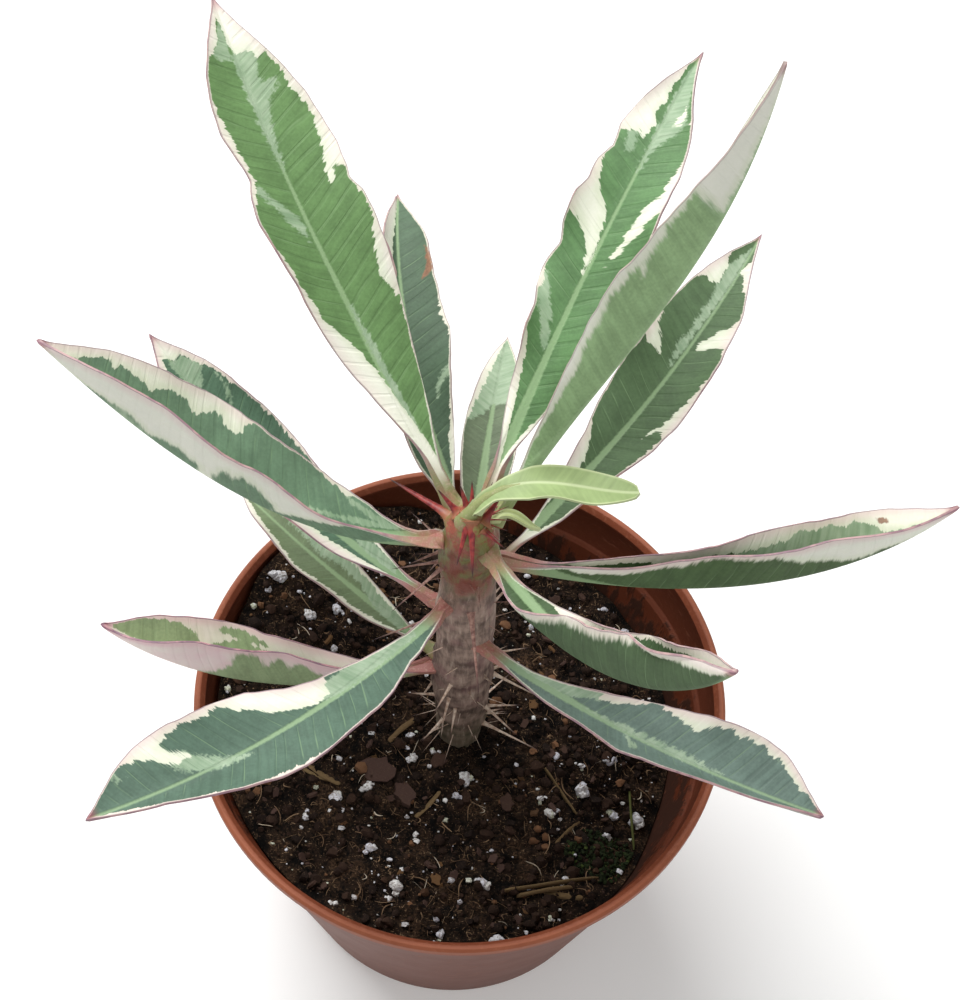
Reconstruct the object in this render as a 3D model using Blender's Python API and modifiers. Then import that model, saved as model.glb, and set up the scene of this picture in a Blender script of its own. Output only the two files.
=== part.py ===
"""Potted crown of thorns: a variegated Euphorbia milii in a round nursery pot.

Metres, +Z up. The origin is the middle of the pot's underside, +Y is the plant's back and +X its right.
"""

import math

import bmesh
import bpy
import numpy as np
from mathutils import Matrix, Vector, noise

MM = 0.001
GAP = 0.3 * MM
WELD = 0.001 * MM
SHARP_FROM = 40

# The pot.
POT_HEIGHT = 80 * MM
RIM_RADIUS = 54 * MM
BASE_RADIUS = 38 * MM
WALL = 1.3 * MM
FLOOR = 1.8 * MM
LIP_WIDTH = 2.2 * MM
LIP_DEPTH = 2.6 * MM
LIP_CORNER = 0.5 * MM
BAND_DEPTH = 11 * MM
BAND_STEP = 0.9 * MM
BASE_CORNER = 2 * MM
POT_SIDES = 64
DRAIN_COUNT = 6
DRAIN_RADIUS = 4 * MM
DRAIN_RING = 27 * MM
DRAIN_SIDES = 16

# The soil, which lies higher on the plant's left than on its right.
SOIL_LEVEL = 62.5 * MM
SOIL_SLOPE_X = -0.20
SOIL_SLOPE_Y = 0.06
# Each mound: x, y, height and reach, in millimetres. The one with a negative height is a hollow.
SOIL_MOUNDS = (
    (-28, 48, 5, 24),
    (-46, 30, 4, 12),
    (43, -15, -7.5, 14),
)
SOIL_BUMP = 1.1 * MM
SOIL_BUMP_SPACING = 7 * MM
SOIL_RINGS = 12
SOIL_SIDES = 48
# Perlite grains that lie in the soil: x, y and size, in millimetres.
GRAINS = (
    (-40.5, 25, 4.4),
    (-34, 19, 3.4),
    (-28, 21, 3.2),
    (-10, -36, 4.6),
    (-16, -29, 3.2),
    (-24, -20, 3.0),
    (2, -11, 3.6),
    (-9, -9, 3.4),
    (7, -33, 3.6),
    (11, -44, 3.4),
    (33, -1, 4.2),
    (39.5, -12, 4.0),
    (27, -9, 3.6),
    (33, -17, 3.0),
)
GRAIN_SHOWN = 0.15
# Bark chips and a twig: x, y, length and width in millimetres, and the turn in degrees.
CHIPS = (
    (-16, -12, 8.5, 5.5, 35),
    (-11, -17, 6.5, 3.2, 80),
    (17, -32, 11.0, 2.6, 12),
)
CHIP_THICKNESS = 2.6 * MM
CHIP_TILT = 7

# The stem, which stands in a plain hole in the soil.
STEM_BOTTOM = 40 * MM
STEM_TOP = 148.6 * MM
STEM_DOME = 7 * MM
STEM_SIDES = 20
STEM_RINGS = 34
# Its radius at some heights, in millimetres: it is narrow where it leaves the soil and swells above.
STEM_HEIGHTS = (62, 72, 86, 118, 130, 142)
STEM_RADII = (4.5, 5.1, 5.7, 5.4, 4.9, 4.8)
# Each leaf and pair of spines stands on a low swelling.
SWELLING = 0.55 * MM
SWELLING_REACH = 2.4 * MM

# The spines. Each one in front is chosen by hand: height and azimuth of its root, heading, rise and
# length, in millimetres and degrees. The ones at the back follow the golden angle up the stem.
FRONT_SPINES = (
    (143.5, 150, 152, 4, 12),
    (145, -112, -97, -60, 7),
    (145, -92, -74, -56, 9.5),
    (145, -38, -20, -25, 4.5),
    (134, -153, -138, -24, 12),
    (133.5, -166, -170, -10, 8.5),
    (136, -177, -163, -32, 6.5),
    (135, -172, -140, -62, 4.5),
    (123.5, -80, -80, -15, 15),
    (116, -152, -152, 0, 13),
    (85, -178, -132, -62, 6.5),
    (83, -148, -168, 28, 6.5),
    (94.5, -107, -125, -40, 7),
    (89, -112, -106, -64, 10),
    (85, -98, -98, -55, 7),
    (76, -124, -134, -24, 6.5),
    (90.5, -6, -16, -22, 11),
    (89.5, 6, 10, 24, 4),
    (75, -8, -2, 20, 7),
    (70, 2, 2, 34, 4),
    (80, -31, -40, -4, 9),
    (70.5, -26, -26, 5, 13.5),
)
BACK_NODE_LOWEST = 68 * MM
BACK_NODE_HIGHEST = 138 * MM
BACK_NODE_SPACING = 3.3 * MM
BACK_REACH = (15, 165)
BACK_LENGTHS = (6 * MM, 11 * MM)
BACK_RISES = (-15, 25)
BACK_SPLAY = 24
GOLDEN_TURN = 137.5
SPINE_SHARE = 0.07
SPINE_THINNEST = 0.5 * MM
SPINE_TIP = 0.12 * MM
SPINE_ROOT = 2.2 * MM
SPINE_SIDES = 5
SPINE_CLEARANCE = 2.6 * MM

# The blades.
BLADE = 0.7 * MM
STALK_THICKNESS = 2.0 * MM
STALK_SHARE = 0.11
# The shares of a leaf's length at which its stalk and its midrib's thickening end.
STALK_END = 0.12
RIB_END = 0.62
# The share of a half's width over which it turns up from the midrib.
KEEL_SHARE = 0.2
LEAF_STEPS = 18
LEAF_COLUMNS = (-1.0, -0.6, -0.2, 0.0, 0.2, 0.6, 1.0)


def leaf(name, height, azimuth, length, half_width, heading, rise, **form):
    """One leaf's sizes: heights and lengths in millimetres, angles in degrees.

    It leaves the stem at a height and azimuth. heading and rise steer its midrib, and each is a pair
    (base, tip) or a triple (base, middle, tip). half_width, fold, widest and curl may be a pair
    (left side, right side), as seen from the stem with the upper face up.
    """
    sizes = dict(roll=(0, 0), fold_left=(12, 12), fold_right=(12, 12), curl=12, widest=(0.62, 0.62))
    sizes.update(blunt=0.9, wave=(0.6, 3, 0), stalk_share=STALK_SHARE, stalk_thickness=STALK_THICKNESS)
    sizes.update(form)
    sizes.update(name=name, height=height, azimuth=azimuth, length=length)
    sizes.update(half_width=half_width, heading=heading, rise=rise)
    return sizes


LEAVES = (
    leaf("leaf_back_left", 145, 128, 95.5, (9.8, 11.6), (134, 117.5), (38, 30, 26),
         roll=(-5, -12), curl=14, widest=(0.64, 0.6), wave=(1.2, 2.2, 0.1)),
    leaf("leaf_back_left_low", 136, 110, 70, (7, 8), (117, 93), (20, 10, -2),
         fold_left=(20, 60), fold_right=(20, 10), curl=14, widest=(0.5, 0.6), wave=(0.8, 2.5, 0.3)),
    leaf("leaf_back_small", 133, 83, 46, (4.7, 5.5), (88, 84), (20, 0, -23),
         widest=(0.4, 0.4), blunt=1.0, wave=(0.4, 2, 0)),
    leaf("leaf_back_right", 143, 72, 88, (8, 9.2), (69, 65, 62.5), (34, 30, 22),
         roll=(0, 5), fold_left=(14, 14), fold_right=(14, 14), curl=14, wave=(1.4, 3.5, 0)),
    leaf("leaf_right_upright", 145, 35, 90, (11, 11), (47, 41, 74), (50, 49, 74),
         roll=(70, 80), fold_left=(50, 50), fold_right=(50, 50), curl=20),
    leaf("leaf_right_back", 126, 40, 83, (8.8, 7.9), (44, 65), (17, 15, 11),
         widest=(0.63, 0.58), wave=(1, 3, 0.4)),
    leaf("leaf_right", 134, -2, 82.5, (8.8, 10.2), (-7, 19), (-4, 8, 51),
         roll=(18, 17, 40), fold_left=(72, 80, 36), fold_right=(72, 80, 36), curl=0),
    leaf("leaf_front_right_high", 142, -45, 76.5, (6.8, 10.5), (-58, -44), (6, 42, 73),
         fold_left=(10, 50, 50), fold_right=(25, 86, 104), curl=30, widest=(0.62, 0.5), wave=(0.8, 3, 0)),
    leaf("leaf_front_right", 110, -50, 69, (9.8, 6.8), (-37, -14), (5, 2, -4),
         fold_left=(15, 26), fold_right=(15, 32, 70), widest=(0.72, 0.5), blunt=0.75, wave=(1, 3, 0.2)),
    leaf("leaf_front_left", 124, -130, 76, (9, 10), (-119, -152), (18, 11, 6),
         fold_left=(12, 30), widest=(0.52, 0.71), blunt=0.75, wave=(0.8, 3, 0)),
    leaf("leaf_left_low", 93, 190, 66, (10, 10), (196, 168), (-12, 9, 42),
         roll=(-25, -36, -20), fold_left=(60, 70, 50), fold_right=(60, 70, 50), curl=10),
    leaf("leaf_left", 139.5, 180, 78.5, (12, 12), (175, 158), (-22, 28, 40),
         roll=(-15, -28, -38), fold_left=(50, 58, 58), fold_right=(50, 58, 58), curl=10, widest=(0.56, 0.56)),
    leaf("leaf_left_back", 114, 160, 75.5, (7.4, 8.4), (149, 140), (-8, 17, 34),
         fold_left=(20, 20), fold_right=(20, 20), curl=16, wave=(0.8, 3, 0)),
    leaf("leaf_left_under", 95, 165, 56, (4.8, 5.2), (148, 134), (2, -2, -8),
         fold_left=(15, 15), fold_right=(15, 15), widest=(0.5, 0.6)),
    leaf("young_leaf", 149.3, -150, 30.5, (4, 4), (34, 0, -2), (60, 2, 14),
         roll=(10, 10), fold_left=(30, 30), fold_right=(30, 30), curl=10, widest=(0.6, 0.6), wave=(0, 2, 0),
         stalk_share=0.3, stalk_thickness=1.6 * MM),
    leaf("leaf_bud", 147, 2, 8.5, (1.1, 1.1), (60, -25, 5), (60, -12, -10),
         fold_left=(30, 30), fold_right=(30, 30), widest=(0.4, 0.4), wave=(0, 2, 0),
         stalk_share=0.6, stalk_thickness=0.9 * MM),
)


def clear_scene():
    for obj in list(bpy.data.objects):
        bpy.data.objects.remove(obj, do_unlink=True)


def material(name, colour, roughness):
    made = bpy.data.materials.new(name)
    made.use_nodes = True
    shader = made.node_tree.nodes["Principled BSDF"]
    shader.inputs["Base Color"].default_value = (*colour, 1)
    shader.inputs["Roughness"].default_value = roughness
    shader.inputs["Metallic"].default_value = 0
    return made


def node(name, mesh, collection, surface):
    """One of the object's own pieces, smooth but for its sharp edges."""
    made = bpy.data.objects.new(name, mesh)
    collection.objects.link(made)
    mesh.materials.append(surface)
    mesh.shade_smooth()
    mesh.set_sharp_from_angle(angle=math.radians(SHARP_FROM))
    return made


def helper(name, shape, collection):
    """A cutter, or a piece to be joined to a node, made from a bmesh, which it frees."""
    mesh = bpy.data.meshes.new(name)
    shape.to_mesh(mesh)
    shape.free()
    made = bpy.data.objects.new(name, mesh)
    collection.objects.link(made)
    return made


def apply_modifiers(obj):
    """Replaces the object's mesh with its evaluated one."""
    graph = bpy.context.evaluated_depsgraph_get()
    evaluated = bpy.data.meshes.new_from_object(obj.evaluated_get(graph))
    obj.modifiers.clear()
    obj.data = evaluated


def turned_mesh(name, profile, steps):
    """A closed turned body: the profile of (radius, height) points runs down its outer side from +Z."""
    mesh = bpy.data.meshes.new(name)
    shape = bmesh.new()
    points = [shape.verts.new((radius, 0, height)) for radius, height in profile]
    for low, high in zip(points, points[1:]):
        shape.edges.new((low, high))
    shape.to_mesh(mesh)
    shape.clear()
    obj = bpy.data.objects.new(name, mesh)
    bpy.context.scene.collection.objects.link(obj)
    screw = obj.modifiers.new("Screw", "SCREW")
    screw.steps = steps
    screw.render_steps = steps
    screw.use_merge_vertices = True
    screw.merge_threshold = WELD
    bpy.context.view_layer.update()
    apply_modifiers(obj)
    turned = obj.data
    bpy.data.objects.remove(obj, do_unlink=True)
    shape.from_mesh(turned)
    bmesh.ops.remove_doubles(shape, verts=shape.verts, dist=WELD)
    shape.to_mesh(turned)
    shape.free()
    return turned


def wall_radius(height):
    """The pot wall's outer radius at a height, under the rim band."""
    return BASE_RADIUS + (RIM_RADIUS - LIP_WIDTH + WALL - BASE_RADIUS) * height / POT_HEIGHT


def inner_radius(height):
    """What fits inside the pot's wall at a height, clear of it all round."""
    return wall_radius(height) - WALL - GAP


def pot_profile():
    """Down the outside from the lip, under the floor to the axis, and back up the inside."""
    lip_inside = RIM_RADIUS - LIP_WIDTH
    lip_under = POT_HEIGHT - LIP_DEPTH
    band_under = POT_HEIGHT - BAND_DEPTH
    band_foot = band_under - BAND_STEP
    outside = [
        (lip_inside + LIP_CORNER, POT_HEIGHT),
        (RIM_RADIUS - LIP_CORNER, POT_HEIGHT),
        (RIM_RADIUS, POT_HEIGHT - LIP_CORNER),
        (RIM_RADIUS, lip_under + LIP_CORNER),
        (wall_radius(lip_under) + BAND_STEP, lip_under),
        (wall_radius(band_under) + BAND_STEP, band_under),
        (wall_radius(band_foot), band_foot),
        (wall_radius(BASE_CORNER), BASE_CORNER),
        (BASE_RADIUS - BASE_CORNER / 2, 0),
        (0, 0),
    ]
    inside = [
        (0, FLOOR),
        (BASE_RADIUS - WALL - BASE_CORNER, FLOOR),
        (wall_radius(FLOOR + BASE_CORNER) - WALL, FLOOR + BASE_CORNER),
        (wall_radius(band_foot) - WALL, band_foot),
        (wall_radius(band_under) + BAND_STEP - WALL, band_under),
        (wall_radius(lip_under) + BAND_STEP - WALL, lip_under),
        (lip_inside, POT_HEIGHT - LIP_CORNER),
        (lip_inside + LIP_CORNER, POT_HEIGHT),
    ]
    return outside + inside


def make_pot(collection, cutters):
    """The turned pot, with its drainage holes cut through the floor."""
    surface = material("pot_plastic", (0.38, 0.13, 0.06), 0.5)
    pot = node("pot", turned_mesh("pot_wall", pot_profile(), POT_SIDES), collection, surface)
    shape = bmesh.new()
    for index in range(DRAIN_COUNT):
        turn = math.tau * (index + 0.5) / DRAIN_COUNT
        place = Matrix.Translation((DRAIN_RING * math.cos(turn), DRAIN_RING * math.sin(turn), FLOOR / 2))
        bmesh.ops.create_cone(
            shape, cap_ends=True, segments=DRAIN_SIDES, radius1=DRAIN_RADIUS, radius2=DRAIN_RADIUS,
            depth=FLOOR * 3, matrix=place,
        )
    cutter = helper("drain_cutter", shape, cutters)
    cutter.hide_render = True
    cutter.display_type = "WIRE"
    cut = pot.modifiers.new("Drain holes", "BOOLEAN")
    cut.object = cutter
    cut.operation = "DIFFERENCE"


def soil_height(x, y):
    """The height of the soil's surface: a slope with two mounds and a washed-out hollow, and small bumps."""
    height = SOIL_LEVEL + SOIL_SLOPE_X * x + SOIL_SLOPE_Y * y
    for mound_x, mound_y, mound_height, reach in SOIL_MOUNDS:
        away = ((x / MM - mound_x) ** 2 + (y / MM - mound_y) ** 2) / reach**2
        height += mound_height * MM * math.exp(-away)
    return height + SOIL_BUMP * noise.noise(Vector((x, y, 0)) / SOIL_BUMP_SPACING)


def hole_radius():
    """The radius of the plain hole that the stem stands in, clear of the widest swelling near the soil."""
    heights = np.linspace(STEM_BOTTOM, SOIL_LEVEL + 2 * SWELLING_REACH, 12)
    return max(stem_surface(height, turn) for height in heights for turn in range(0, 360, 10)) + GAP


def soil_profile():
    """The soil's body with a flat top: rings outward over the top, down the side, and up the stem's hole."""
    edge = inner_radius(POT_HEIGHT)
    hole = hole_radius()
    low = FLOOR + GAP
    corner = low + BASE_CORNER
    top = [(radius, POT_HEIGHT) for radius in np.linspace(hole, edge, SOIL_RINGS + 1)]
    side = [(inner_radius(corner), corner), (BASE_RADIUS - WALL - BASE_CORNER - GAP, low)]
    return top + side + [(0, low), (0, STEM_BOTTOM - GAP), (hole, STEM_BOTTOM - GAP), (hole, POT_HEIGHT)]


def soil_edge(turn):
    """The radius at which the sloping soil meets the pot's wall, in one direction."""
    radius = inner_radius(SOIL_LEVEL)
    for _ in range(6):
        radius = inner_radius(soil_height(radius * math.cos(turn), radius * math.sin(turn)))
    return radius


def make_soil(collection):
    """The soil's body, with its top points moved to the soil's height and its grains and chips joined on."""
    mesh = turned_mesh("soil_body", soil_profile(), SOIL_SIDES)
    hole = hole_radius()
    for vertex in mesh.vertices:
        if vertex.co.z < POT_HEIGHT - WELD:
            continue
        turn = math.atan2(vertex.co.y, vertex.co.x)
        share = (math.hypot(vertex.co.x, vertex.co.y) - hole) / (inner_radius(POT_HEIGHT) - hole)
        reach = hole + share * (soil_edge(turn) - hole)
        vertex.co.x = reach * math.cos(turn)
        vertex.co.y = reach * math.sin(turn)
        vertex.co.z = soil_height(vertex.co.x, vertex.co.y)
    soil = node("potting_soil", mesh, collection, material("peat", (0.035, 0.024, 0.018), 0.95))
    pieces = bpy.data.collections.new("soil_pieces")
    collection.children.link(pieces)
    for index, (x, y, size) in enumerate(GRAINS):
        add_grain(pieces, index, x * MM, y * MM, size * MM)
    for x, y, length, width, turn in CHIPS:
        add_chip(pieces, x * MM, y * MM, length * MM, width * MM, turn)
    join_all(soil, pieces)


def add_grain(pieces, index, x, y, size):
    shape = bmesh.new()
    turn = Matrix.Rotation(index * 1.3, 4, "X") @ Matrix.Rotation(index * 0.7, 4, "Z")
    place = Matrix.Translation((x, y, soil_height(x, y) + GRAIN_SHOWN * size))
    bmesh.ops.create_icosphere(shape, subdivisions=1, radius=size / 2, matrix=place @ turn)
    helper("grain", shape, pieces)


def add_chip(pieces, x, y, length, width, turn):
    shape = bmesh.new()
    tilt = Matrix.Rotation(math.radians(turn), 4, "Z") @ Matrix.Rotation(math.radians(CHIP_TILT), 4, "X")
    size = Matrix.Diagonal((length, width, CHIP_THICKNESS, 1))
    place = Matrix.Translation((x, y, soil_height(x, y)))
    bmesh.ops.create_cube(shape, size=1, matrix=place @ tilt @ size)
    helper("chip", shape, pieces)


def join_all(body, pieces):
    """Joins a body with every piece of a collection, and removes the pieces."""
    join = body.modifiers.new("Join", "BOOLEAN")
    join.operation = "UNION"
    join.operand_type = "COLLECTION"
    join.collection = pieces
    join.solver = "MANIFOLD"
    bpy.context.view_layer.update()
    apply_modifiers(body)
    for piece in list(pieces.objects):
        bpy.data.objects.remove(piece, do_unlink=True)
    bpy.data.collections.remove(pieces)


def stem_radius(height):
    """The stem's plain radius, which ends in a dome."""
    radius = float(np.interp(height / MM, STEM_HEIGHTS, STEM_RADII)) * MM
    below_top = STEM_TOP - height
    if below_top < STEM_DOME:
        radius *= math.sqrt(max(0.0, 1 - (1 - below_top / STEM_DOME) ** 2))
    return radius


def swellings():
    """(height, azimuth) of every leaf and spine of the stem's front and sides."""
    nodes = [(one["height"] * MM, one["azimuth"]) for one in LEAVES]
    return nodes + [(spine[0] * MM, spine[1]) for spine in FRONT_SPINES]


def stem_surface(height, azimuth):
    """The stem's radius with its swellings, at a height and an azimuth in degrees."""
    plain = stem_radius(height)
    swell = 0
    for node_height, node_azimuth in swellings():
        around = math.radians((azimuth - node_azimuth + 180) % 360 - 180) * plain
        away = (around**2 + (height - node_height) ** 2) / SWELLING_REACH**2
        swell = max(swell, math.exp(-away))
    return plain + SWELLING * swell * plain / (STEM_RADII[-1] * MM)


def stem_profile():
    """Down over the dome and the side to the stem's buried end."""
    dome = [STEM_TOP - STEM_DOME * (1 - math.cos(math.radians(angle))) for angle in (0, 25, 45, 65, 90)]
    side = np.linspace(STEM_TOP - STEM_DOME, STEM_BOTTOM, STEM_RINGS)[1:]
    return [(stem_radius(height), height) for height in dome + list(side)] + [(0, STEM_BOTTOM)]


def direction(heading, rise):
    """The unit vector at a heading and a rise, in degrees."""
    heading, rise = math.radians(heading), math.radians(rise)
    return Vector((math.cos(rise) * math.cos(heading), math.cos(rise) * math.sin(heading), math.sin(rise)))


def spine_root(height, azimuth):
    return direction(azimuth, 0) * stem_surface(height, azimuth) + Vector((0, 0, height))


def back_spines():
    """The spines of the stem's far side, in pairs, each left out where a leaf would be in its way."""
    blades = leaf_points()
    draw = np.random.default_rng(7)
    spines = []
    height, azimuth = BACK_NODE_LOWEST, 20.0
    while height < BACK_NODE_HIGHEST:
        for side in (-1, 1):
            beside = (azimuth + side * BACK_SPLAY) % 360
            heading = beside + side * draw.uniform(0, BACK_SPLAY)
            rise = draw.uniform(*BACK_RISES)
            length = draw.uniform(*BACK_LENGTHS)
            steps = np.linspace(0, length, 12)[:, None]
            path = np.array(spine_root(height, beside)) + steps * np.array(direction(heading, rise))
            nearest = np.linalg.norm(path[:, None] - blades[None], axis=2).min()
            if BACK_REACH[0] < beside < BACK_REACH[1] and nearest > SPINE_CLEARANCE:
                spines.append((height, beside, heading, rise, length))
        height += BACK_NODE_SPACING
        azimuth = (azimuth + GOLDEN_TURN) % 360
    return spines


def add_spine(pieces, height, azimuth, heading, rise, length):
    """A thin cone whose wide end is sunk in the stem."""
    root = spine_root(height, azimuth)
    inner = root - direction(azimuth, 0) * SPINE_ROOT
    tip = root + direction(heading, rise) * length
    axis = tip - inner
    shape = bmesh.new()
    place = Matrix.Translation((tip + inner) / 2) @ axis.to_track_quat("Z", "Y").to_matrix().to_4x4()
    bmesh.ops.create_cone(
        shape, cap_ends=True, segments=SPINE_SIDES, radius1=max(SPINE_THINNEST, SPINE_SHARE * length),
        radius2=SPINE_TIP, depth=axis.length, matrix=place,
    )
    helper("spine", shape, pieces)


def make_stem(collection):
    """The turned stem with its swellings, joined with its spines."""
    mesh = turned_mesh("stem_body", stem_profile(), STEM_SIDES)
    for vertex in mesh.vertices:
        reach = math.hypot(vertex.co.x, vertex.co.y)
        if reach < WELD:
            continue
        azimuth = math.degrees(math.atan2(vertex.co.y, vertex.co.x))
        swell = stem_surface(vertex.co.z, azimuth) / stem_radius(vertex.co.z)
        vertex.co.x *= swell
        vertex.co.y *= swell
    stem = node("stem", mesh, collection, material("stem_bark", (0.16, 0.13, 0.10), 0.7))
    pieces = bpy.data.collections.new("spine_pieces")
    collection.children.link(pieces)
    for height, azimuth, heading, rise, length in FRONT_SPINES:
        add_spine(pieces, height * MM, azimuth, heading, rise, length * MM)
    for spine in back_spines():
        add_spine(pieces, *spine)
    join_all(stem, pieces)


def along(values, share):
    """A size that changes along a leaf, from its value at the base, perhaps middle, and tip."""
    if len(values) == 2:
        return values[0] + (values[1] - values[0]) * share
    base, middle, tip = values
    return base + (4 * middle - 3 * base - tip) * share + (2 * base - 4 * middle + 2 * tip) * share**2


def blade_width(share, widest, blunt, stalk):
    """The half-width at a share of the leaf's length, as a share of its greatest half-width."""
    lower = blunt * widest / (1 - widest)
    peak = widest**lower * (1 - widest) ** blunt
    blade = share**lower * np.clip(1 - share, 0, 1) ** blunt / peak
    return np.maximum(blade, stalk * np.clip((1 - share) * 2, 0, 1))


def half_section(fold, curl, across):
    """How far out and up a half of the section reaches at a share of its width, and its slope there."""
    steps = np.linspace(0, 1, 41)
    bend = np.minimum(1, steps / KEEL_SHARE)
    slope = np.radians(fold * bend + curl * (steps - 0.5) * bend)
    out = np.concatenate([[0], np.cumsum((np.cos(slope[1:]) + np.cos(slope[:-1])) / 80)])
    up = np.concatenate([[0], np.cumsum((np.sin(slope[1:]) + np.sin(slope[:-1])) / 80)])
    return np.interp(across, steps, out), np.interp(across, steps, up), np.interp(across, steps, slope)


def leaf_frames(sizes, shares):
    """The midrib's points, and the directions to the leaf's right and out of its upper face."""
    rise = np.radians(along(sizes["rise"], shares))
    heading = np.radians(along(sizes["heading"], shares))
    roll = np.radians(along(sizes["roll"], shares))
    way = np.stack([np.cos(rise) * np.cos(heading), np.cos(rise) * np.sin(heading), np.sin(rise)], -1)
    right = np.stack([np.sin(heading), -np.cos(heading), np.zeros_like(heading)], -1)
    upper = np.cross(right, way)
    right, upper = (np.cos(roll)[:, None] * right + np.sin(roll)[:, None] * upper,
                    np.cos(roll)[:, None] * upper - np.sin(roll)[:, None] * right)
    step = sizes["length"] * MM * (shares[1:] - shares[:-1])[:, None]
    midrib = np.concatenate([np.zeros((1, 3)), np.cumsum(step * (way[1:] + way[:-1]) / 2, 0)])
    turn = math.radians(sizes["azimuth"])
    stalk = sizes["stalk_share"] * max(sizes["half_width"]) * MM
    aside = abs(math.sin(math.radians(sizes["heading"][0] - sizes["azimuth"])))
    droop = sizes["stalk_thickness"] * max(0, math.sin(-rise[0]))
    reach = stem_surface(sizes["height"] * MM, sizes["azimuth"]) + GAP + stalk * aside + droop
    foot = np.array([reach * math.cos(turn), reach * math.sin(turn), sizes["height"] * MM])
    return midrib + foot, right, upper


def blade_points(sizes, shares, columns):
    """The upper face's points, one row for each share of the length and one column for each place across."""
    midrib, right, upper = leaf_frames(sizes, shares)
    points = np.zeros((len(shares), len(columns), 3))
    swing, count, phase = sizes["wave"]
    ripple = swing * MM * np.sin(np.pi * shares) ** 0.7 * np.sin(math.tau * (count * shares + phase))
    for column, place in enumerate(columns):
        side = 0 if place < 0 else 1
        fold = along(sizes["fold_left" if place < 0 else "fold_right"], shares)
        half = sizes["half_width"][side] * MM
        width = half * blade_width(shares, sizes["widest"][side], sizes["blunt"], sizes["stalk_share"])
        for row in range(len(shares)):
            out, up, slope = half_section(fold[row], sizes["curl"], abs(place))
            lift = ripple[row] * place**2
            out = width[row] * out - lift * math.sin(slope)
            up = width[row] * up + lift * math.cos(slope)
            points[row, column] = midrib[row] + math.copysign(out, place) * right[row] + up * upper[row]
    return points


def leaf_points():
    """Points all over the leaves, close enough together to measure how near a spine comes to them."""
    shares = np.linspace(0, 1, 61)
    columns = np.linspace(-1, 1, 13)
    return np.concatenate([blade_points(sizes, shares, columns).reshape(-1, 3) for sizes in LEAVES])


def blade_thickness(sizes, share, place):
    """The blade thickens toward the stem, along its midrib and over its whole stalk."""
    toward_stem = max(0, 1 - share / RIB_END) ** 2
    near_rib = max((1 - abs(place)) ** 2, 1 - share / STALK_END)
    return BLADE + (sizes["stalk_thickness"] - BLADE) * toward_stem * near_rib


def make_leaf(sizes, collection, surface):
    """A grid, moved by formula, split into triangles and given its thickness below."""
    shares = np.linspace(0, 1, LEAF_STEPS + 1)
    points = blade_points(sizes, shares, LEAF_COLUMNS)
    columns = len(LEAF_COLUMNS)
    shape = bmesh.new()
    bmesh.ops.create_grid(shape, x_segments=columns - 1, y_segments=LEAF_STEPS, size=1)
    weight = shape.verts.layers.deform.verify()
    for index, vertex in enumerate(shape.verts):
        row, column = divmod(index, columns)
        vertex.co = points[row, column]
        thickness = blade_thickness(sizes, shares[row], LEAF_COLUMNS[column])
        vertex[weight][0] = thickness / sizes["stalk_thickness"]
    bmesh.ops.triangulate(shape, faces=shape.faces)
    bmesh.ops.remove_doubles(shape, verts=shape.verts, dist=WELD)
    mesh = bpy.data.meshes.new(sizes["name"])
    shape.to_mesh(mesh)
    shape.free()
    made = node(sizes["name"], mesh, collection, surface)
    group = made.vertex_groups.new(name="thickness")
    thick = made.modifiers.new("Thickness", "SOLIDIFY")
    thick.thickness = sizes["stalk_thickness"]
    thick.offset = -1
    thick.vertex_group = group.name


def main():
    clear_scene()
    plant = bpy.data.collections.new("potted_crown_of_thorns")
    cutters = bpy.data.collections.new("cutters")
    bpy.context.scene.collection.children.link(plant)
    bpy.context.scene.collection.children.link(cutters)
    make_pot(plant, cutters)
    make_soil(plant)
    make_stem(plant)
    grown = material("leaf_green", (0.16, 0.30, 0.13), 0.45)
    young = material("young_leaf_green", (0.42, 0.60, 0.16), 0.45)
    for sizes in LEAVES:
        make_leaf(sizes, plant, young if sizes["name"] == "young_leaf" else grown)


main()
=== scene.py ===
# %% [markdown]
# # A potted crown of thorns
#
# This lesson dresses a small houseplant: one thorny stem with long cream-edged leaves, in a nursery pot.
# The plain solids of the plant come in first as a frame. Every new piece stands for one of them, so its
# place and its size are already settled, and the lesson can go into surface and colour.

# %% The frame
import math

import bpy
import numpy as np
from mathutils import Matrix, Vector, noise


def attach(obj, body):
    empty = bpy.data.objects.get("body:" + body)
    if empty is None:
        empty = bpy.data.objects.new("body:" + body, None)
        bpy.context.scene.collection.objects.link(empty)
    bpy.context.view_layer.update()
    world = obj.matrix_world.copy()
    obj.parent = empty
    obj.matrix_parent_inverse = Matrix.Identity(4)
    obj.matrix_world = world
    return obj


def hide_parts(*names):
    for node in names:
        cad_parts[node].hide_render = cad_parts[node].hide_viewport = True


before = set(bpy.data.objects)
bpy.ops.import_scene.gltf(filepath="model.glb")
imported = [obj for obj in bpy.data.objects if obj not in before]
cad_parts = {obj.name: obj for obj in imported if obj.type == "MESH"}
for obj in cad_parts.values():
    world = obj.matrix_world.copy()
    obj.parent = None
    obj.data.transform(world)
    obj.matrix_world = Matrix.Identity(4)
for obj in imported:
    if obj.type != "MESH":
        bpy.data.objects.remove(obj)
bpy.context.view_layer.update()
MM = 0.001
print("solids in the frame:", len(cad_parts))

# %% [markdown]
# ## Camera
#
# The plant is seen from above and in front, about 58 degrees below level, with a slight tilt. The camera
# could be aimed at a target and then rolled. Here its pitch and its tilt are two turns of its axes,
# because both are then plain numbers.

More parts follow.
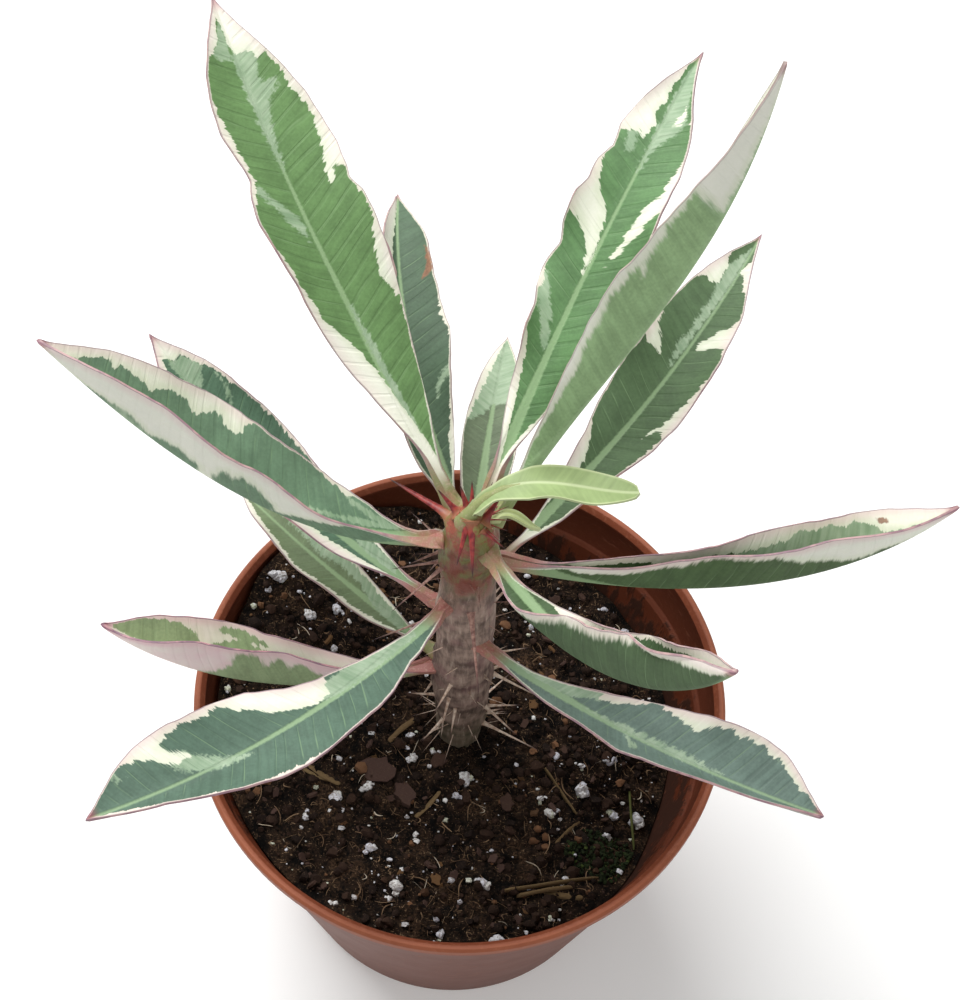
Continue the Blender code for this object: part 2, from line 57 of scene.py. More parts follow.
# %% Camera
SENSOR_WIDTH = 36
LENS_SHARE = 1.7
CAMERA_PLACE = Vector((2.8, -152.4, 393)) * MM
CAMERA_PITCH = math.radians(57.6)
CAMERA_ROLL = math.radians(4.46)
camera_data = bpy.data.cameras.new("camera")
camera_data.sensor_width = SENSOR_WIDTH
camera_data.sensor_height = SENSOR_WIDTH
camera_data.sensor_fit = "AUTO"
camera_data.lens = LENS_SHARE * SENSOR_WIDTH
camera = bpy.data.objects.new("camera", camera_data)
bpy.context.scene.collection.objects.link(camera)
look_down = Matrix.Rotation(math.pi / 2 - CAMERA_PITCH, 4, "X")
camera.matrix_world = Matrix.Translation(CAMERA_PLACE) @ look_down @ Matrix.Rotation(CAMERA_ROLL, 4, "Z")
bpy.context.scene.camera = camera
bpy.context.scene.view_settings.view_transform = "Standard"
print("camera height in mm:", round(CAMERA_PLACE.z / MM))

# %% [markdown]
# ## Wiring a finish
#
# A finish is a small sum: so much of one colour where the noise is high, so much of another at the edge.
# Written with node calls such a sum is hard to read, so a wire between two nodes gets a class of its own.
# A wire can be added to, taken from, multiplied and divided, and each step adds its own Math node.
# Painted maps would be the other way, but noise and a few stored numbers need no picture.

# %% Wires
class Wire:
    """An output of a node, which takes part in sums like a number."""

    def __init__(self, tree, socket=None):
        self.tree = tree
        self.socket = socket

    def node(self, kind, settings=None, inputs=None, output=0):
        """Adds a node, sets it up, feeds its inputs with values or wires, and gives one of its outputs."""
        made = self.tree.nodes.new(kind)
        for name, value in (settings or {}).items():
            setattr(made, name, value)
        for key, value in (inputs or {}).items():
            if isinstance(value, Wire):
                self.tree.links.new(value.socket, made.inputs[key])
            else:
                made.inputs[key].default_value = value
        return Wire(self.tree, made.outputs[output])

    def sum(self, operation, first, second):
        """What a Math node makes of two numbers or wires."""
        return self.node("ShaderNodeMath", {"operation": operation}, {0: first, 1: second})

    def __add__(self, other):
        return self.sum("ADD", self, other)

    __radd__ = __add__

    def __sub__(self, other):
        return self.sum("SUBTRACT", self, other)

    def __rsub__(self, other):
        return self.sum("SUBTRACT", other, self)

    def __mul__(self, other):
        return self.sum("MULTIPLY", self, other)

    __rmul__ = __mul__

    def __truediv__(self, other):
        return self.sum("DIVIDE", self, other)

    def larger(self, other):
        """The larger of two wires."""
        return self.sum("MAXIMUM", self, other)

    def rise(self, low, high):
        """0 below low, 1 above high, and a smooth step between them. With low above high it falls."""
        settings = {"interpolation_type": "SMOOTHSTEP"}
        if low < high:
            return self.node("ShaderNodeMapRange", settings, {0: self, 1: low, 2: high, 3: 0.0, 4: 1.0})
        return self.node("ShaderNodeMapRange", settings, {0: self, 1: high, 2: low, 3: 1.0, 4: 0.0})

    def colour(self, first, second):
        """The first colour where this wire is 0, and the second where it is 1, from wires or triples."""
        settings = {"data_type": "RGBA", "blend_type": "MIX"}
        first, second = [end if isinstance(end, Wire) else linear(*end) for end in (first, second)]
        return self.node("ShaderNodeMix", settings, {0: self, 6: first, 7: second}, 2)

    def stretched(self, scale, turn=(0, 0, 0)):
        """A place multiplied by a scale along each axis."""
        inputs = {"Vector": self, "Scale": scale, "Rotation": turn}
        return self.node("ShaderNodeMapping", {"vector_type": "POINT"}, inputs)

    def grain(self, size, detail=2.0, roughness=0.5):
        """Soft noise from 0 to 1 with lumps of about the given size in metres."""
        inputs = {"Vector": self, "Scale": 1 / size, "Detail": detail, "Roughness": roughness}
        return self.node("ShaderNodeTexNoise", {"noise_dimensions": "3D"}, inputs)

    def attribute(self, name, output="Fac"):
        """A number or colour that is stored on the points."""
        return self.node("ShaderNodeAttribute", {"attribute_name": name}, output=output)

    def place(self):
        """Where a point is, in the piece's own coordinates."""
        return self.node("ShaderNodeTexCoord", output="Object")

    def height(self):
        """How high a place is."""
        return self.node("ShaderNodeSeparateXYZ", inputs={0: self}, output=2)

    def scaled(self, share):
        """A colour made darker or lighter."""
        return self.node("ShaderNodeVectorMath", {"operation": "SCALE"}, {0: self, "Scale": share})


print("a wire knows:", [name for name in vars(Wire) if not name.startswith("_")])

# %% Colours and finishes
def linear(red, green, blue):
    """A colour as a screen shows it, from 0 to 255, in the linear values that a node takes."""
    parts = [part / 255 for part in (red, green, blue)]
    dim = [part / 12.92 for part in parts]
    bright = [((part + 0.055) / 1.055) ** 2.4 for part in parts]
    return tuple(low if part <= 0.04045 else high for part, low, high in zip(parts, dim, bright)) + (1,)


def new_finish(name, roughness=0.5, specular=0.5):
    """A material, its shader node, and a loose wire to start the sums from."""
    made = bpy.data.materials.new(name)
    made.use_nodes = True
    shader = made.node_tree.nodes["Principled BSDF"]
    shader.inputs["Roughness"].default_value = roughness
    shader.inputs["Specular IOR Level"].default_value = specular
    return made, shader, Wire(made.node_tree)


def feed(shader, **wires):
    """Links wires to the shader's sockets, named with _ for a space."""
    for name, wire in wires.items():
        wire.tree.links.new(wire.socket, shader.inputs[name.replace("_", " ")])


def bump(height, depth, strength=1.0, onto=None):
    """The surface direction for a height wire from 0 to 1 that stands for a depth in metres."""
    inputs = {"Height": height, "Distance": depth, "Strength": strength}
    if onto:
        inputs["Normal"] = onto
    return height.node("ShaderNodeBump", inputs=inputs)


print("a mid green is", [round(part, 3) for part in linear(109, 150, 88)])

# %% [markdown]
# ## Floor and light
#
# The floor is a plain pale sheet that glows a little, as a light table does, so shadows on it stay pale.
# One lamp could do for a small plant, but its shadows would be black. Here a broad lamp stands behind the
# plant on the left, a weak one fills in from the front, and an even sky lights the rest.

# %% Floor and lights
LAMP_SIZE = 0.8
LAMP_AIM = Vector((0, 0, 0.1))
FLOOR_GLOW = 0.16
SKY_STRENGTH = 0.42


def pick(*pieces):
    """Makes these pieces the only selected ones, and the first one active."""
    bpy.ops.object.select_all(action="DESELECT")
    for piece in pieces:
        piece.select_set(True)
    bpy.context.view_layer.objects.active = pieces[0]


def add_shape(name, operator, **options):
    """Adds a primitive with nothing else selected, and names it."""
    bpy.ops.object.select_all(action="DESELECT")
    operator(**options)
    piece = bpy.context.active_object
    piece.name = name
    return piece


def add_lamp(name, place, power):
    """A square soft lamp that points at the middle of the plant."""
    data = bpy.data.lights.new(name, "AREA")
    data.size = LAMP_SIZE
    data.energy = power
    lamp = bpy.data.objects.new(name, data)
    bpy.context.scene.collection.objects.link(lamp)
    aim = LAMP_AIM - Vector(place)
    lamp.matrix_world = Matrix.Translation(place) @ aim.to_track_quat("-Z", "Y").to_matrix().to_4x4()


floor = add_shape("floor", bpy.ops.mesh.primitive_plane_add, size=4)
floor_finish, shader, start = new_finish("floor_paper", roughness=0.9)
mottle = start.place().grain(0.4)
feed(shader, Base_Color=mottle.colour((236, 236, 235), (242, 242, 241)))
shader.inputs["Emission Color"].default_value = linear(255, 254, 252)
shader.inputs["Emission Strength"].default_value = FLOOR_GLOW
floor.data.materials.append(floor_finish)
add_lamp("window_lamp", (-0.35, 0.45, 1.0), power=15)
add_lamp("front_lamp", (0.5, -0.7, 1.0), power=1.8)
sky = bpy.data.worlds.new("sky")
sky.use_nodes = True
sky.node_tree.nodes["Background"].inputs["Color"].default_value = (1, 1, 1, 1)
sky.node_tree.nodes["Background"].inputs["Strength"].default_value = SKY_STRENGTH
bpy.context.scene.world = sky

# %% [markdown]
# ## The pot
#
# A nursery pot is blown or moulded from thin terracotta-coloured plastic. It has a flat rim, a slightly
# wider band under it and a plain tapering wall. It could be spun from a profile. Here it is drawn up ring
# by ring from a circle, as a potter pulls a wall, because each ring then shows its place in the profile.

# %% The pot's profile
POT_HEIGHT = 80 * MM
RIM_RADIUS = 54 * MM
BASE_RADIUS = 38 * MM
WALL = 1.3 * MM
POT_FLOOR = 1.8 * MM
LIP_WIDTH = 2.2 * MM
LIP_DEPTH = 2.6 * MM
BAND_DEPTH = 11 * MM
BAND_STEP = 0.9 * MM
BASE_CORNER = 2 * MM
LIP_ROUNDING = 0.5 * MM
POT_SIDES = 160
WALL_SPREAD = RIM_RADIUS - LIP_WIDTH + WALL - BASE_RADIUS


def wall_radius(height):
    """The pot wall's outer radius at a height, under the rim band."""
    return BASE_RADIUS + WALL_SPREAD * height / POT_HEIGHT


def pot_rings():
    """(radius, height) of each ring: up the outside from under the base, over the lip, down the inside."""
    lip_under = POT_HEIGHT - LIP_DEPTH
    band_under = POT_HEIGHT - BAND_DEPTH
    band_foot = band_under - BAND_STEP
    lip_inside = RIM_RADIUS - LIP_WIDTH
    return [
        (BASE_RADIUS - BASE_CORNER / 2, 0),
        (wall_radius(BASE_CORNER), BASE_CORNER),
        (wall_radius(band_foot), band_foot),
        (wall_radius(band_under) + BAND_STEP, band_under),
        (wall_radius(lip_under) + BAND_STEP, lip_under),
        (RIM_RADIUS, lip_under + 0.3 * MM),
        (RIM_RADIUS, POT_HEIGHT - LIP_ROUNDING),
        (RIM_RADIUS - LIP_ROUNDING, POT_HEIGHT),
        (lip_inside + 0.9 * MM, POT_HEIGHT - 0.1 * MM),
        (lip_inside, POT_HEIGHT - 1.2 * MM),
        (wall_radius(lip_under) + BAND_STEP - WALL, lip_under),
        (wall_radius(band_under) + BAND_STEP - WALL, band_under),
        (wall_radius(band_foot) - WALL, band_foot),
        (wall_radius(POT_FLOOR + BASE_CORNER) - WALL, POT_FLOOR + BASE_CORNER),
        (BASE_RADIUS - WALL - BASE_CORNER, POT_FLOOR),
    ]


print("rings in the profile:", len(pot_rings()))

# %% The pot, pulled up ring by ring
def pull(from_radius, from_height, radius, height):
    """Extrudes the selected ring to a new height and scales it to a new radius."""
    bpy.ops.mesh.extrude_region_move(TRANSFORM_OT_translate={"value": (0, 0, height - from_height)})
    share = radius / from_radius
    bpy.ops.transform.resize(value=(share, share, 1), center_override=(0, 0, height))


def drop(*pieces):
    """Takes helper shapes out of the scene."""
    for piece in pieces:
        bpy.data.objects.remove(piece, do_unlink=True)


def take_modifiers(piece):
    """Applies every modifier of a piece in its order."""
    pick(piece)
    for name in [modifier.name for modifier in piece.modifiers]:
        bpy.ops.object.modifier_apply(modifier=name)


rings = pot_rings()
pot = add_shape("nursery_pot", bpy.ops.mesh.primitive_circle_add,
                vertices=POT_SIDES, radius=rings[0][0], fill_type="NGON")
bpy.ops.object.mode_set(mode="EDIT")
bpy.ops.mesh.select_all(action="SELECT")
for (from_radius, from_height), (radius, height) in zip(rings, rings[1:]):
    pull(from_radius, from_height, radius, height)
bpy.ops.mesh.select_all(action="SELECT")
bpy.ops.mesh.normals_make_consistent(inside=False)
bpy.ops.object.mode_set(mode="OBJECT")
print("pot faces before the holes:", len(pot.data.polygons))

# %% [markdown]
# Six round holes in the floor let the water out. One plug is made, five more are turned round from it, and
# a Boolean cuts them all. A bevel then softens every edge, because moulded plastic has no knife edges.

# %% Drainage holes and soft edges
DRAIN_RING = 27 * MM
DRAIN_RADIUS = 4 * MM
DRAIN_COUNT = 6
DRAIN_SIDES = 28
EDGE_SOFTNESS = 0.3 * MM
SHARP_EDGE = 30
plug = add_shape("drain_plug", bpy.ops.mesh.primitive_cylinder_add,
                 vertices=DRAIN_SIDES, radius=DRAIN_RADIUS, depth=POT_FLOOR * 4)
bpy.ops.object.mode_set(mode="EDIT")
start_turn = math.pi / DRAIN_COUNT
bpy.ops.transform.translate(value=(DRAIN_RING * math.cos(start_turn), DRAIN_RING * math.sin(start_turn), 0))
for _ in range(DRAIN_COUNT - 1):
    bpy.ops.mesh.duplicate()
    bpy.ops.transform.rotate(value=math.tau / DRAIN_COUNT, orient_axis="Z", center_override=(0, 0, 0))
bpy.ops.object.mode_set(mode="OBJECT")
holes = pot.modifiers.new("Holes", "BOOLEAN")
holes.object = plug
holes.operation = "DIFFERENCE"
soften = pot.modifiers.new("Soft edges", "BEVEL")
soften.width = EDGE_SOFTNESS
soften.segments = 3
soften.limit_method = "ANGLE"
soften.angle_limit = math.radians(SHARP_EDGE)
take_modifiers(pot)
drop(plug)
print("pot faces:", len(pot.data.polygons))

# %% [markdown]
# Every piece ends the same way: it is smoothed, it moves with the one body, and the solid it takes the place
# of is hidden. One function does it, so no piece is forgotten halfway.

# %% Settling a piece
def settle(piece, node, slot, sharp=None):
    """Smooths a piece, all over or up to an angle, moves it with the body, and hides the solid it replaces.
    """
    pick(piece)
    if sharp is None:
        bpy.ops.object.shade_smooth()
    else:
        bpy.ops.object.shade_smooth_by_angle(angle=math.radians(sharp))
    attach(piece, "root")
    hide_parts(node)


print("solids still to be replaced:", len(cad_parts))

# %% [markdown]
# The plastic is a matt terracotta brown. Along the rim's outer edge it is paler in patches, a painted
# highlight. The inside is darker, a painted shade, and smeared with dried compost that ran down in streaks.
# The outside is darker in patches too, a painted shade, and is slightly scuffed and worn at its foot.
# Painted maps could carry all that. Noise on the object's own places, squeezed sideways or upright, needs
# none.

# %% Pot plastic
pot_finish, shader, start = new_finish("pot_plastic", specular=0.22)
spot = start.place()
height = spot.height()
round_about = spot.stretched((1, 1, 0))
reach = round_about.node("ShaderNodeVectorMath", {"operation": "LENGTH"}, {0: round_about}, "Value")
mottle = spot.grain(9 * MM, 5, 0.6)
speck = spot.grain(0.9 * MM, 3, 0.6)
streak = spot.stretched((1, 1, 0.12)).grain(2.2 * MM, 4, 0.6)
plastic = mottle.colour((114, 57, 37), (132, 70, 46))
plastic = ((speck - 0.5) * 1.6 + 0.25).rise(0.2, 0.9).colour(plastic, (150, 90, 66))
rim = height.rise(POT_HEIGHT - 3.2 * MM, POT_HEIGHT - 1.2 * MM)
# Painted highlight: the outer edge of the rim is made paler, in patches.
rim_highlight = rim * reach.rise(RIM_RADIUS - 1.5 * MM, RIM_RADIUS - 0.7 * MM)
plastic = (rim_highlight * 0.5 * (mottle + 0.35)).colour(plastic, (172, 102, 72))
inside_line = height * (WALL_SPREAD / POT_HEIGHT) + (BASE_RADIUS - WALL / 2)
inside = (inside_line - reach).rise(-0.2 * MM, 0.3 * MM) * (1 - rim)
low = height.rise(POT_HEIGHT - 3 * MM, POT_HEIGHT - 26 * MM)
smear = ((streak - 0.5) * 2.8 + low * 1.1 + (mottle - 0.5) * 2.4).rise(0.35, 0.85) * inside
# Painted shade: the whole inside wall is darkened.
plastic = (inside * 0.85).colour(plastic, (92, 44, 26))
plastic = (smear * 0.8).colour(plastic, (44, 26, 17))
scuff = spot.stretched((0.22, 0.22, 1)).grain(0.7 * MM, 3, 0.6).rise(0.56, 0.7) * mottle.rise(0.42, 0.64)
worn_foot = (height + (speck - 0.5) * (3 * MM)).rise(3.5 * MM, 0.5 * MM)
outside = (1 - inside) * (1 - rim)
# Painted shade: the outer wall is darkened in patches.
plastic = (outside * (0.5 + mottle * 0.4)).colour(plastic, (88, 43, 28))
plastic = (outside * (scuff * 0.45).larger(worn_foot * 0.4)).colour(plastic, (158, 104, 82))
drip = (spot.stretched((1, 1, 0.2)).grain(1.3 * MM, 2) * inside).rise(0.66, 0.74)
plastic = (drip * 0.35).colour(plastic, (150, 92, 66))
feed(shader, Base_Color=plastic, Roughness=0.46 + mottle * 0.12 + smear * 0.3,
     Normal=bump(speck * 0.5 + streak * 0.5 + smear * 2 - scuff * 0.4, 0.12 * MM, 0.6))
pot.data.materials.append(pot_finish)
settle(pot, "pot", "pot_plastic", sharp=35)
print("pot finish nodes:", len(pot_finish.node_tree.nodes))

# %% [markdown]
# ## The leaves' sizes
#
# Each leaf is a short stalk that widens into a long blade with a point. The sizes are the solids' own, but
# for the young leaf and the bud, which are drawn a little finer: where a leaf leaves the stem, how its
# midrib bends, how its two halves fold up, and how its edge waves. A blade like that could be sculpted.
# Here it is a grid whose points are moved by formula, so that a size can still be changed.

# %% Leaf sizes
GAP = 0.3 * MM
BLADE = 0.7 * MM
STALK_THICKNESS = 2.0 * MM
STALK_SHARE = 0.11
STALK_END = 0.12
RIB_END = 0.62
KEEL_SHARE = 0.2


def leaf(name, height, azimuth, length, half_width, heading, rise, **form):
    """One leaf's sizes: heights and lengths in millimetres, angles in degrees.

    It leaves the stem at a height and azimuth. heading and rise steer its midrib, and each is a pair
    (base, tip) or a triple (base, middle, tip), as fold is. half_width and widest are pairs
    (left side, right side), as seen from the stem with the upper face up.
    """
    fold = form.pop("fold", (12, 12))
    sizes = dict(roll=(0, 0), fold_left=fold, fold_right=fold, curl=12, widest=(0.62, 0.62))
    sizes.update(blunt=0.9, wave=(0.6, 3, 0), stalk_share=STALK_SHARE, stalk_thickness=STALK_THICKNESS)
    sizes.update(form)
    sizes.update(name=name, height=height, azimuth=azimuth, length=length)
    sizes.update(half_width=half_width, heading=heading, rise=rise)
    return sizes


LEAVES = (
    leaf("leaf_back_left", 145, 128, 95.5, (9.8, 11.6), (134, 117.5), (38, 30, 26),
         roll=(-5, -12), curl=14, widest=(0.64, 0.6), wave=(1.2, 2.2, 0.1)),
    leaf("leaf_back_left_low", 136, 110, 70, (7, 8), (117, 93), (20, 10, -2),
         fold_left=(20, 60), fold_right=(20, 10), curl=14, widest=(0.5, 0.6), wave=(0.8, 2.5, 0.3)),
    leaf("leaf_back_small", 133, 83, 46, (4.7, 5.5), (88, 84), (20, 0, -23),
         widest=(0.4, 0.4), blunt=1.0, wave=(0.4, 2, 0)),
    leaf("leaf_back_right", 143, 72, 88, (8, 9.2), (69, 65, 62.5), (34, 30, 22),
         roll=(0, 5), fold=(14, 14), curl=14, wave=(1.4, 3.5, 0)),
    leaf("leaf_right_upright", 145, 35, 90, (11, 11), (47, 41, 74), (50, 49, 74),
         roll=(70, 80), fold=(50, 50), curl=20),
    leaf("leaf_right_back", 126, 40, 83, (8.8, 7.9), (44, 65), (17, 15, 11),
         widest=(0.63, 0.58), wave=(1, 3, 0.4)),
    leaf("leaf_right", 134, -2, 82.5, (8.8, 10.2), (-7, 19), (-4, 8, 51),
         roll=(18, 17, 40), fold=(72, 80, 36), curl=0),
    leaf("leaf_front_right_high", 142, -45, 76.5, (6.8, 10.5), (-58, -44), (6, 42, 73),
         fold_left=(10, 50, 50), fold_right=(25, 86, 104), curl=30, widest=(0.62, 0.5), wave=(0.8, 3, 0)),
    leaf("leaf_front_right", 110, -50, 69, (9.8, 6.8), (-37, -14), (5, 2, -4),
         fold_left=(15, 26), fold_right=(15, 32, 70), widest=(0.72, 0.5), blunt=0.75, wave=(1, 3, 0.2)),
    leaf("leaf_front_left", 124, -130, 76, (9, 10), (-119, -152), (18, 11, 6),
         fold_left=(12, 30), widest=(0.52, 0.71), blunt=0.75, wave=(0.8, 3, 0)),
    leaf("leaf_left_low", 93, 190, 66, (10, 10), (196, 168), (-12, 9, 42),
         roll=(-25, -36, -20), fold=(60, 70, 50), curl=10),
    leaf("leaf_left", 139.5, 180, 78.5, (12, 12), (175, 158), (-22, 28, 40),
         roll=(-15, -28, -38), fold=(50, 58, 58), curl=10, widest=(0.56, 0.56)),
    leaf("leaf_left_back", 114, 160, 75.5, (7.4, 8.4), (149, 140), (-8, 17, 34),
         fold=(20, 20), curl=16, wave=(0.8, 3, 0)),
    leaf("leaf_left_under", 95, 165, 56, (4.8, 5.2), (148, 134), (2, -2, -8),
         fold=(15, 15), widest=(0.5, 0.6)),
    leaf("young_leaf", 149.3, -150, 30.5, (3.2, 4.2), (34, 0, -2), (60, 2, 14), blunt=0.42,
         roll=(10, 10), fold_left=(30, 30), fold_right=(4, 12), curl=10, widest=(0.62, 0.5),
         wave=(0.5, 2, 0.2), stalk_share=0.3, stalk_thickness=1.6 * MM),
    leaf("leaf_bud", 147, 2, 8.5, (0.9, 0.9), (50, -20, 0), (34, -18, 4),
         fold=(30, 30), widest=(0.4, 0.4), wave=(0, 2, 0), stalk_share=0.6, stalk_thickness=0.9 * MM),
)
print("leaves:", len(LEAVES))

# %% [markdown]
# ## The stem's and the spines' sizes
#
# The stem swells a little under each leaf and each pair of spines. Its spines are hardened stipules, two
# at each place where a leaf stands or stood. Those in front are placed one by one, as height, azimuth,
# heading, rise and length. The ones at the back climb by the golden angle, as leaves do, because a draw
# alone would bunch them.

# %% Stem sizes
STEM_BOTTOM = 40 * MM
STEM_TOP = 148.6 * MM
STEM_DOME = 7 * MM
STEM_HEIGHTS = (62, 72, 86, 118, 130, 142)
STEM_RADII = (4.5, 5.1, 5.7, 5.4, 4.9, 4.8)
SWELLING = 0.55 * MM
SWELLING_REACH = 2.4 * MM
FRONT_SPINES = (
    (143.5, 150, 152, 4, 12),
    (148, -118, -100, -43, 7.5),
    (148, -92, -82, -41, 9),
    (146.6, -52, -22, -24, 4.6),
    (134, -153, -138, -24, 12),
    (133.5, -166, -170, -10, 8.5),
    (136, -177, -163, -32, 6.5),
    (135, -172, -140, -62, 4.5),
    (123.5, -80, -80, -15, 15),
    (116, -152, -152, 0, 13),
    (85, -178, -132, -62, 6.5),
    (83, -148, -168, 28, 6.5),
    (94.5, -107, -125, -40, 7),
    (89, -112, -106, -64, 10),
    (85, -98, -98, -55, 7),
    (76, -124, -134, -24, 6.5),
    (90.5, -6, -16, -22, 11),
    (89.5, 6, 10, 24, 4),
    (75, -8, -2, 20, 7),
    (70, 2, 2, 34, 4),
    (80, -31, -40, -4, 9),
    (70.5, -26, -26, 5, 13.5),
)
BACK_NODE_LOWEST = 68 * MM
BACK_NODE_HIGHEST = 138 * MM
BACK_NODE_SPACING = 3.3 * MM
BACK_REACH = (15, 165)
BACK_LENGTHS = (6 * MM, 11 * MM)
BACK_RISES = (-15, 25)
BACK_SPLAY = 24
GOLDEN_TURN = 137.5
SPINE_CLEARANCE = 2.6 * MM


def stem_radius(height):
    """The stem's plain radius, which ends in a dome."""
    radius = float(np.interp(height / MM, STEM_HEIGHTS, STEM_RADII)) * MM
    below_top = STEM_TOP - height
    if below_top < STEM_DOME:
        radius *= math.sqrt(max(0.0, 1 - (1 - below_top / STEM_DOME) ** 2))
    return radius


def swellings():
    """(height, azimuth) of every leaf and spine of the stem's front and sides."""
    nodes = [(one["height"] * MM, one["azimuth"]) for one in LEAVES]
    return nodes + [(spine[0] * MM, spine[1]) for spine in FRONT_SPINES]


def stem_surface(height, azimuth):
    """The stem's radius with its swellings, at a height and an azimuth in degrees."""
    plain = stem_radius(height)
    swell = 0
    for node_height, node_azimuth in swellings():
        around = math.radians((azimuth - node_azimuth + 180) % 360 - 180) * plain
        away = (around**2 + (height - node_height) ** 2) / SWELLING_REACH**2
        swell = max(swell, math.exp(-away))
    return plain + SWELLING * swell * plain / (STEM_RADII[-1] * MM)


print("stem radius at 100 mm:", round(stem_radius(100 * MM) / MM, 2))

# %% [markdown]
# ## The blades' shape
#
# One formula gives every leaf its points: how wide it is at each share of its length, how its halves
# curve up from the midrib, and how the edge ripples. A curve with handles could draw one leaf's outline.
# The formula is kept because sixteen leaves share it.

# %% Blade formulas
SECTION_STEPS = 40


def along(values, share):
    """A size that changes along a leaf, from its value at the base, perhaps middle, and tip."""
    if len(values) == 2:
        return values[0] + (values[1] - values[0]) * share
    base, middle, tip = values
    return base + (4 * middle - 3 * base - tip) * share + (2 * base - 4 * middle + 2 * tip) * share**2


def blade_width(share, widest, blunt, stalk):
    """The half-width at a share of the leaf's length, as a share of its greatest half-width."""
    lower = blunt * widest / (1 - widest)
    peak = widest**lower * (1 - widest) ** blunt
    blade = share**lower * np.clip(1 - share, 0, 1) ** blunt / peak
    return np.maximum(blade, stalk * np.clip((1 - share) * 2, 0, 1))


def half_section(fold, curl, across):
    """How far out and up a half of the section reaches at a share of its width, and its slope there."""
    steps = np.linspace(0, 1, SECTION_STEPS + 1)
    bend = np.minimum(1, steps / KEEL_SHARE)
    slope = np.radians(fold * bend + curl * (steps - 0.5) * bend)
    out = np.concatenate([[0], np.cumsum((np.cos(slope[1:]) + np.cos(slope[:-1])) / (2 * SECTION_STEPS))])
    up = np.concatenate([[0], np.cumsum((np.sin(slope[1:]) + np.sin(slope[:-1])) / (2 * SECTION_STEPS))])
    return np.interp(across, steps, out), np.interp(across, steps, up), np.interp(across, steps, slope)


print("width of a blade at its middle:", round(float(blade_width(0.5, 0.62, 0.9, STALK_SHARE)), 2))

# %% A blade's frame
def leaf_frames(sizes, shares):
    """The midrib's points, and the directions to the leaf's right and out of its upper face."""
    rise = np.radians(along(sizes["rise"], shares))
    heading = np.radians(along(sizes["heading"], shares))
    roll = np.radians(along(sizes["roll"], shares))
    way = np.stack([np.cos(rise) * np.cos(heading), np.cos(rise) * np.sin(heading), np.sin(rise)], -1)
    right = np.stack([np.sin(heading), -np.cos(heading), np.zeros_like(heading)], -1)
    upper = np.cross(right, way)
    right, upper = (np.cos(roll)[:, None] * right + np.sin(roll)[:, None] * upper,
                    np.cos(roll)[:, None] * upper - np.sin(roll)[:, None] * right)
    step = sizes["length"] * MM * (shares[1:] - shares[:-1])[:, None]
    midrib = np.concatenate([np.zeros((1, 3)), np.cumsum(step * (way[1:] + way[:-1]) / 2, 0)])
    turn = math.radians(sizes["azimuth"])
    stalk = sizes["stalk_share"] * max(sizes["half_width"]) * MM
    aside = abs(math.sin(math.radians(sizes["heading"][0] - sizes["azimuth"])))
    droop = sizes["stalk_thickness"] * max(0, math.sin(-rise[0]))
    reach = stem_surface(sizes["height"] * MM, sizes["azimuth"]) + GAP + stalk * aside + droop
    foot = np.array([reach * math.cos(turn), reach * math.sin(turn), sizes["height"] * MM])
    return midrib + foot, right, upper


tips = [leaf_frames(sizes, np.linspace(0, 1, SECTION_STEPS))[0][-1] for sizes in LEAVES]
print("highest leaf tip in mm:", round(max(tip[2] for tip in tips) / MM, 1))

# %% A blade's points
RIPPLE_FADE = 0.7


def blade_points(sizes, shares, across):
    """The upper face's points, for a share of the length in each row and a table of places across."""
    midrib, right, upper = leaf_frames(sizes, shares)
    points = np.zeros(across.shape + (3,))
    swing, count, phase = sizes["wave"]
    ripple = swing * MM * np.sin(np.pi * shares) ** RIPPLE_FADE * np.sin(math.tau * (count * shares + phase))
    for side, fold_name in ((0, "fold_left"), (1, "fold_right")):
        fold = along(sizes[fold_name], shares)
        half = sizes["half_width"][side] * MM
        width = half * blade_width(shares, sizes["widest"][side], sizes["blunt"], sizes["stalk_share"])
        for row in range(len(shares)):
            chosen = across[row] < 0 if side == 0 else across[row] >= 0
            place = across[row][chosen]
            out, up, slope = half_section(fold[row], sizes["curl"], np.abs(place))
            lift = ripple[row] * place**2
            out = np.copysign(width[row] * out - lift * np.sin(slope), place)
            up = width[row] * up + lift * np.cos(slope)
            points[row][chosen] = midrib[row] + out[:, None] * right[row] + up[:, None] * upper[row]
    return points


def blade_thickness(sizes, share, place):
    """How thick a blade is: more toward the stem, along its midrib and over its stalk, less at its edge."""
    toward_stem = max(0, 1 - share / RIB_END) ** 2
    near_rib = max((1 - abs(place)) ** 2, 1 - share / STALK_END)
    thin = BLADE * (1 - 0.5 * abs(place) ** 3 * min(1, share / STALK_END))
    return thin + (sizes["stalk_thickness"] - BLADE) * toward_stem * near_rib


print("thickness at a midrib's middle in mm:", round(blade_thickness(LEAVES[0], 0.5, 0) / MM, 2))

# %% [markdown]
# ## Leaf colours
#
# A variegated leaf is a green blade whose outer layer makes cream tissue along the edge. Where the cream
# runs in, it follows the side veins, so its border is toothed. Every leaf is marked one by one: outlines on
# the blade, as (place across, share of the length) in hundredths, say where it is cream and where it is the
# paler half-tone green. "green" takes cream away again. Each point of the blade then stores how far inside
# such an outline it is, and the finish turns that into a crisp toothed border. Noise alone could scatter
# cream, but every leaf would then be marked like the next.

# %% The form of a marking
def marks(green, blush, *areas, left=((0, 100),), right=((0, 100),)):
    """A leaf's green, how pink its stalk and edge are, its marked areas, and how far its sides reach.

    left and right are (share, reach) pairs in hundredths: where the real edge is cut back or notched.
    """
    return dict(green=green, blush=blush, areas=areas, left=left, right=right)


MARKS = {}
print("a plain leaf:", marks((100, 130, 90), 0.5))

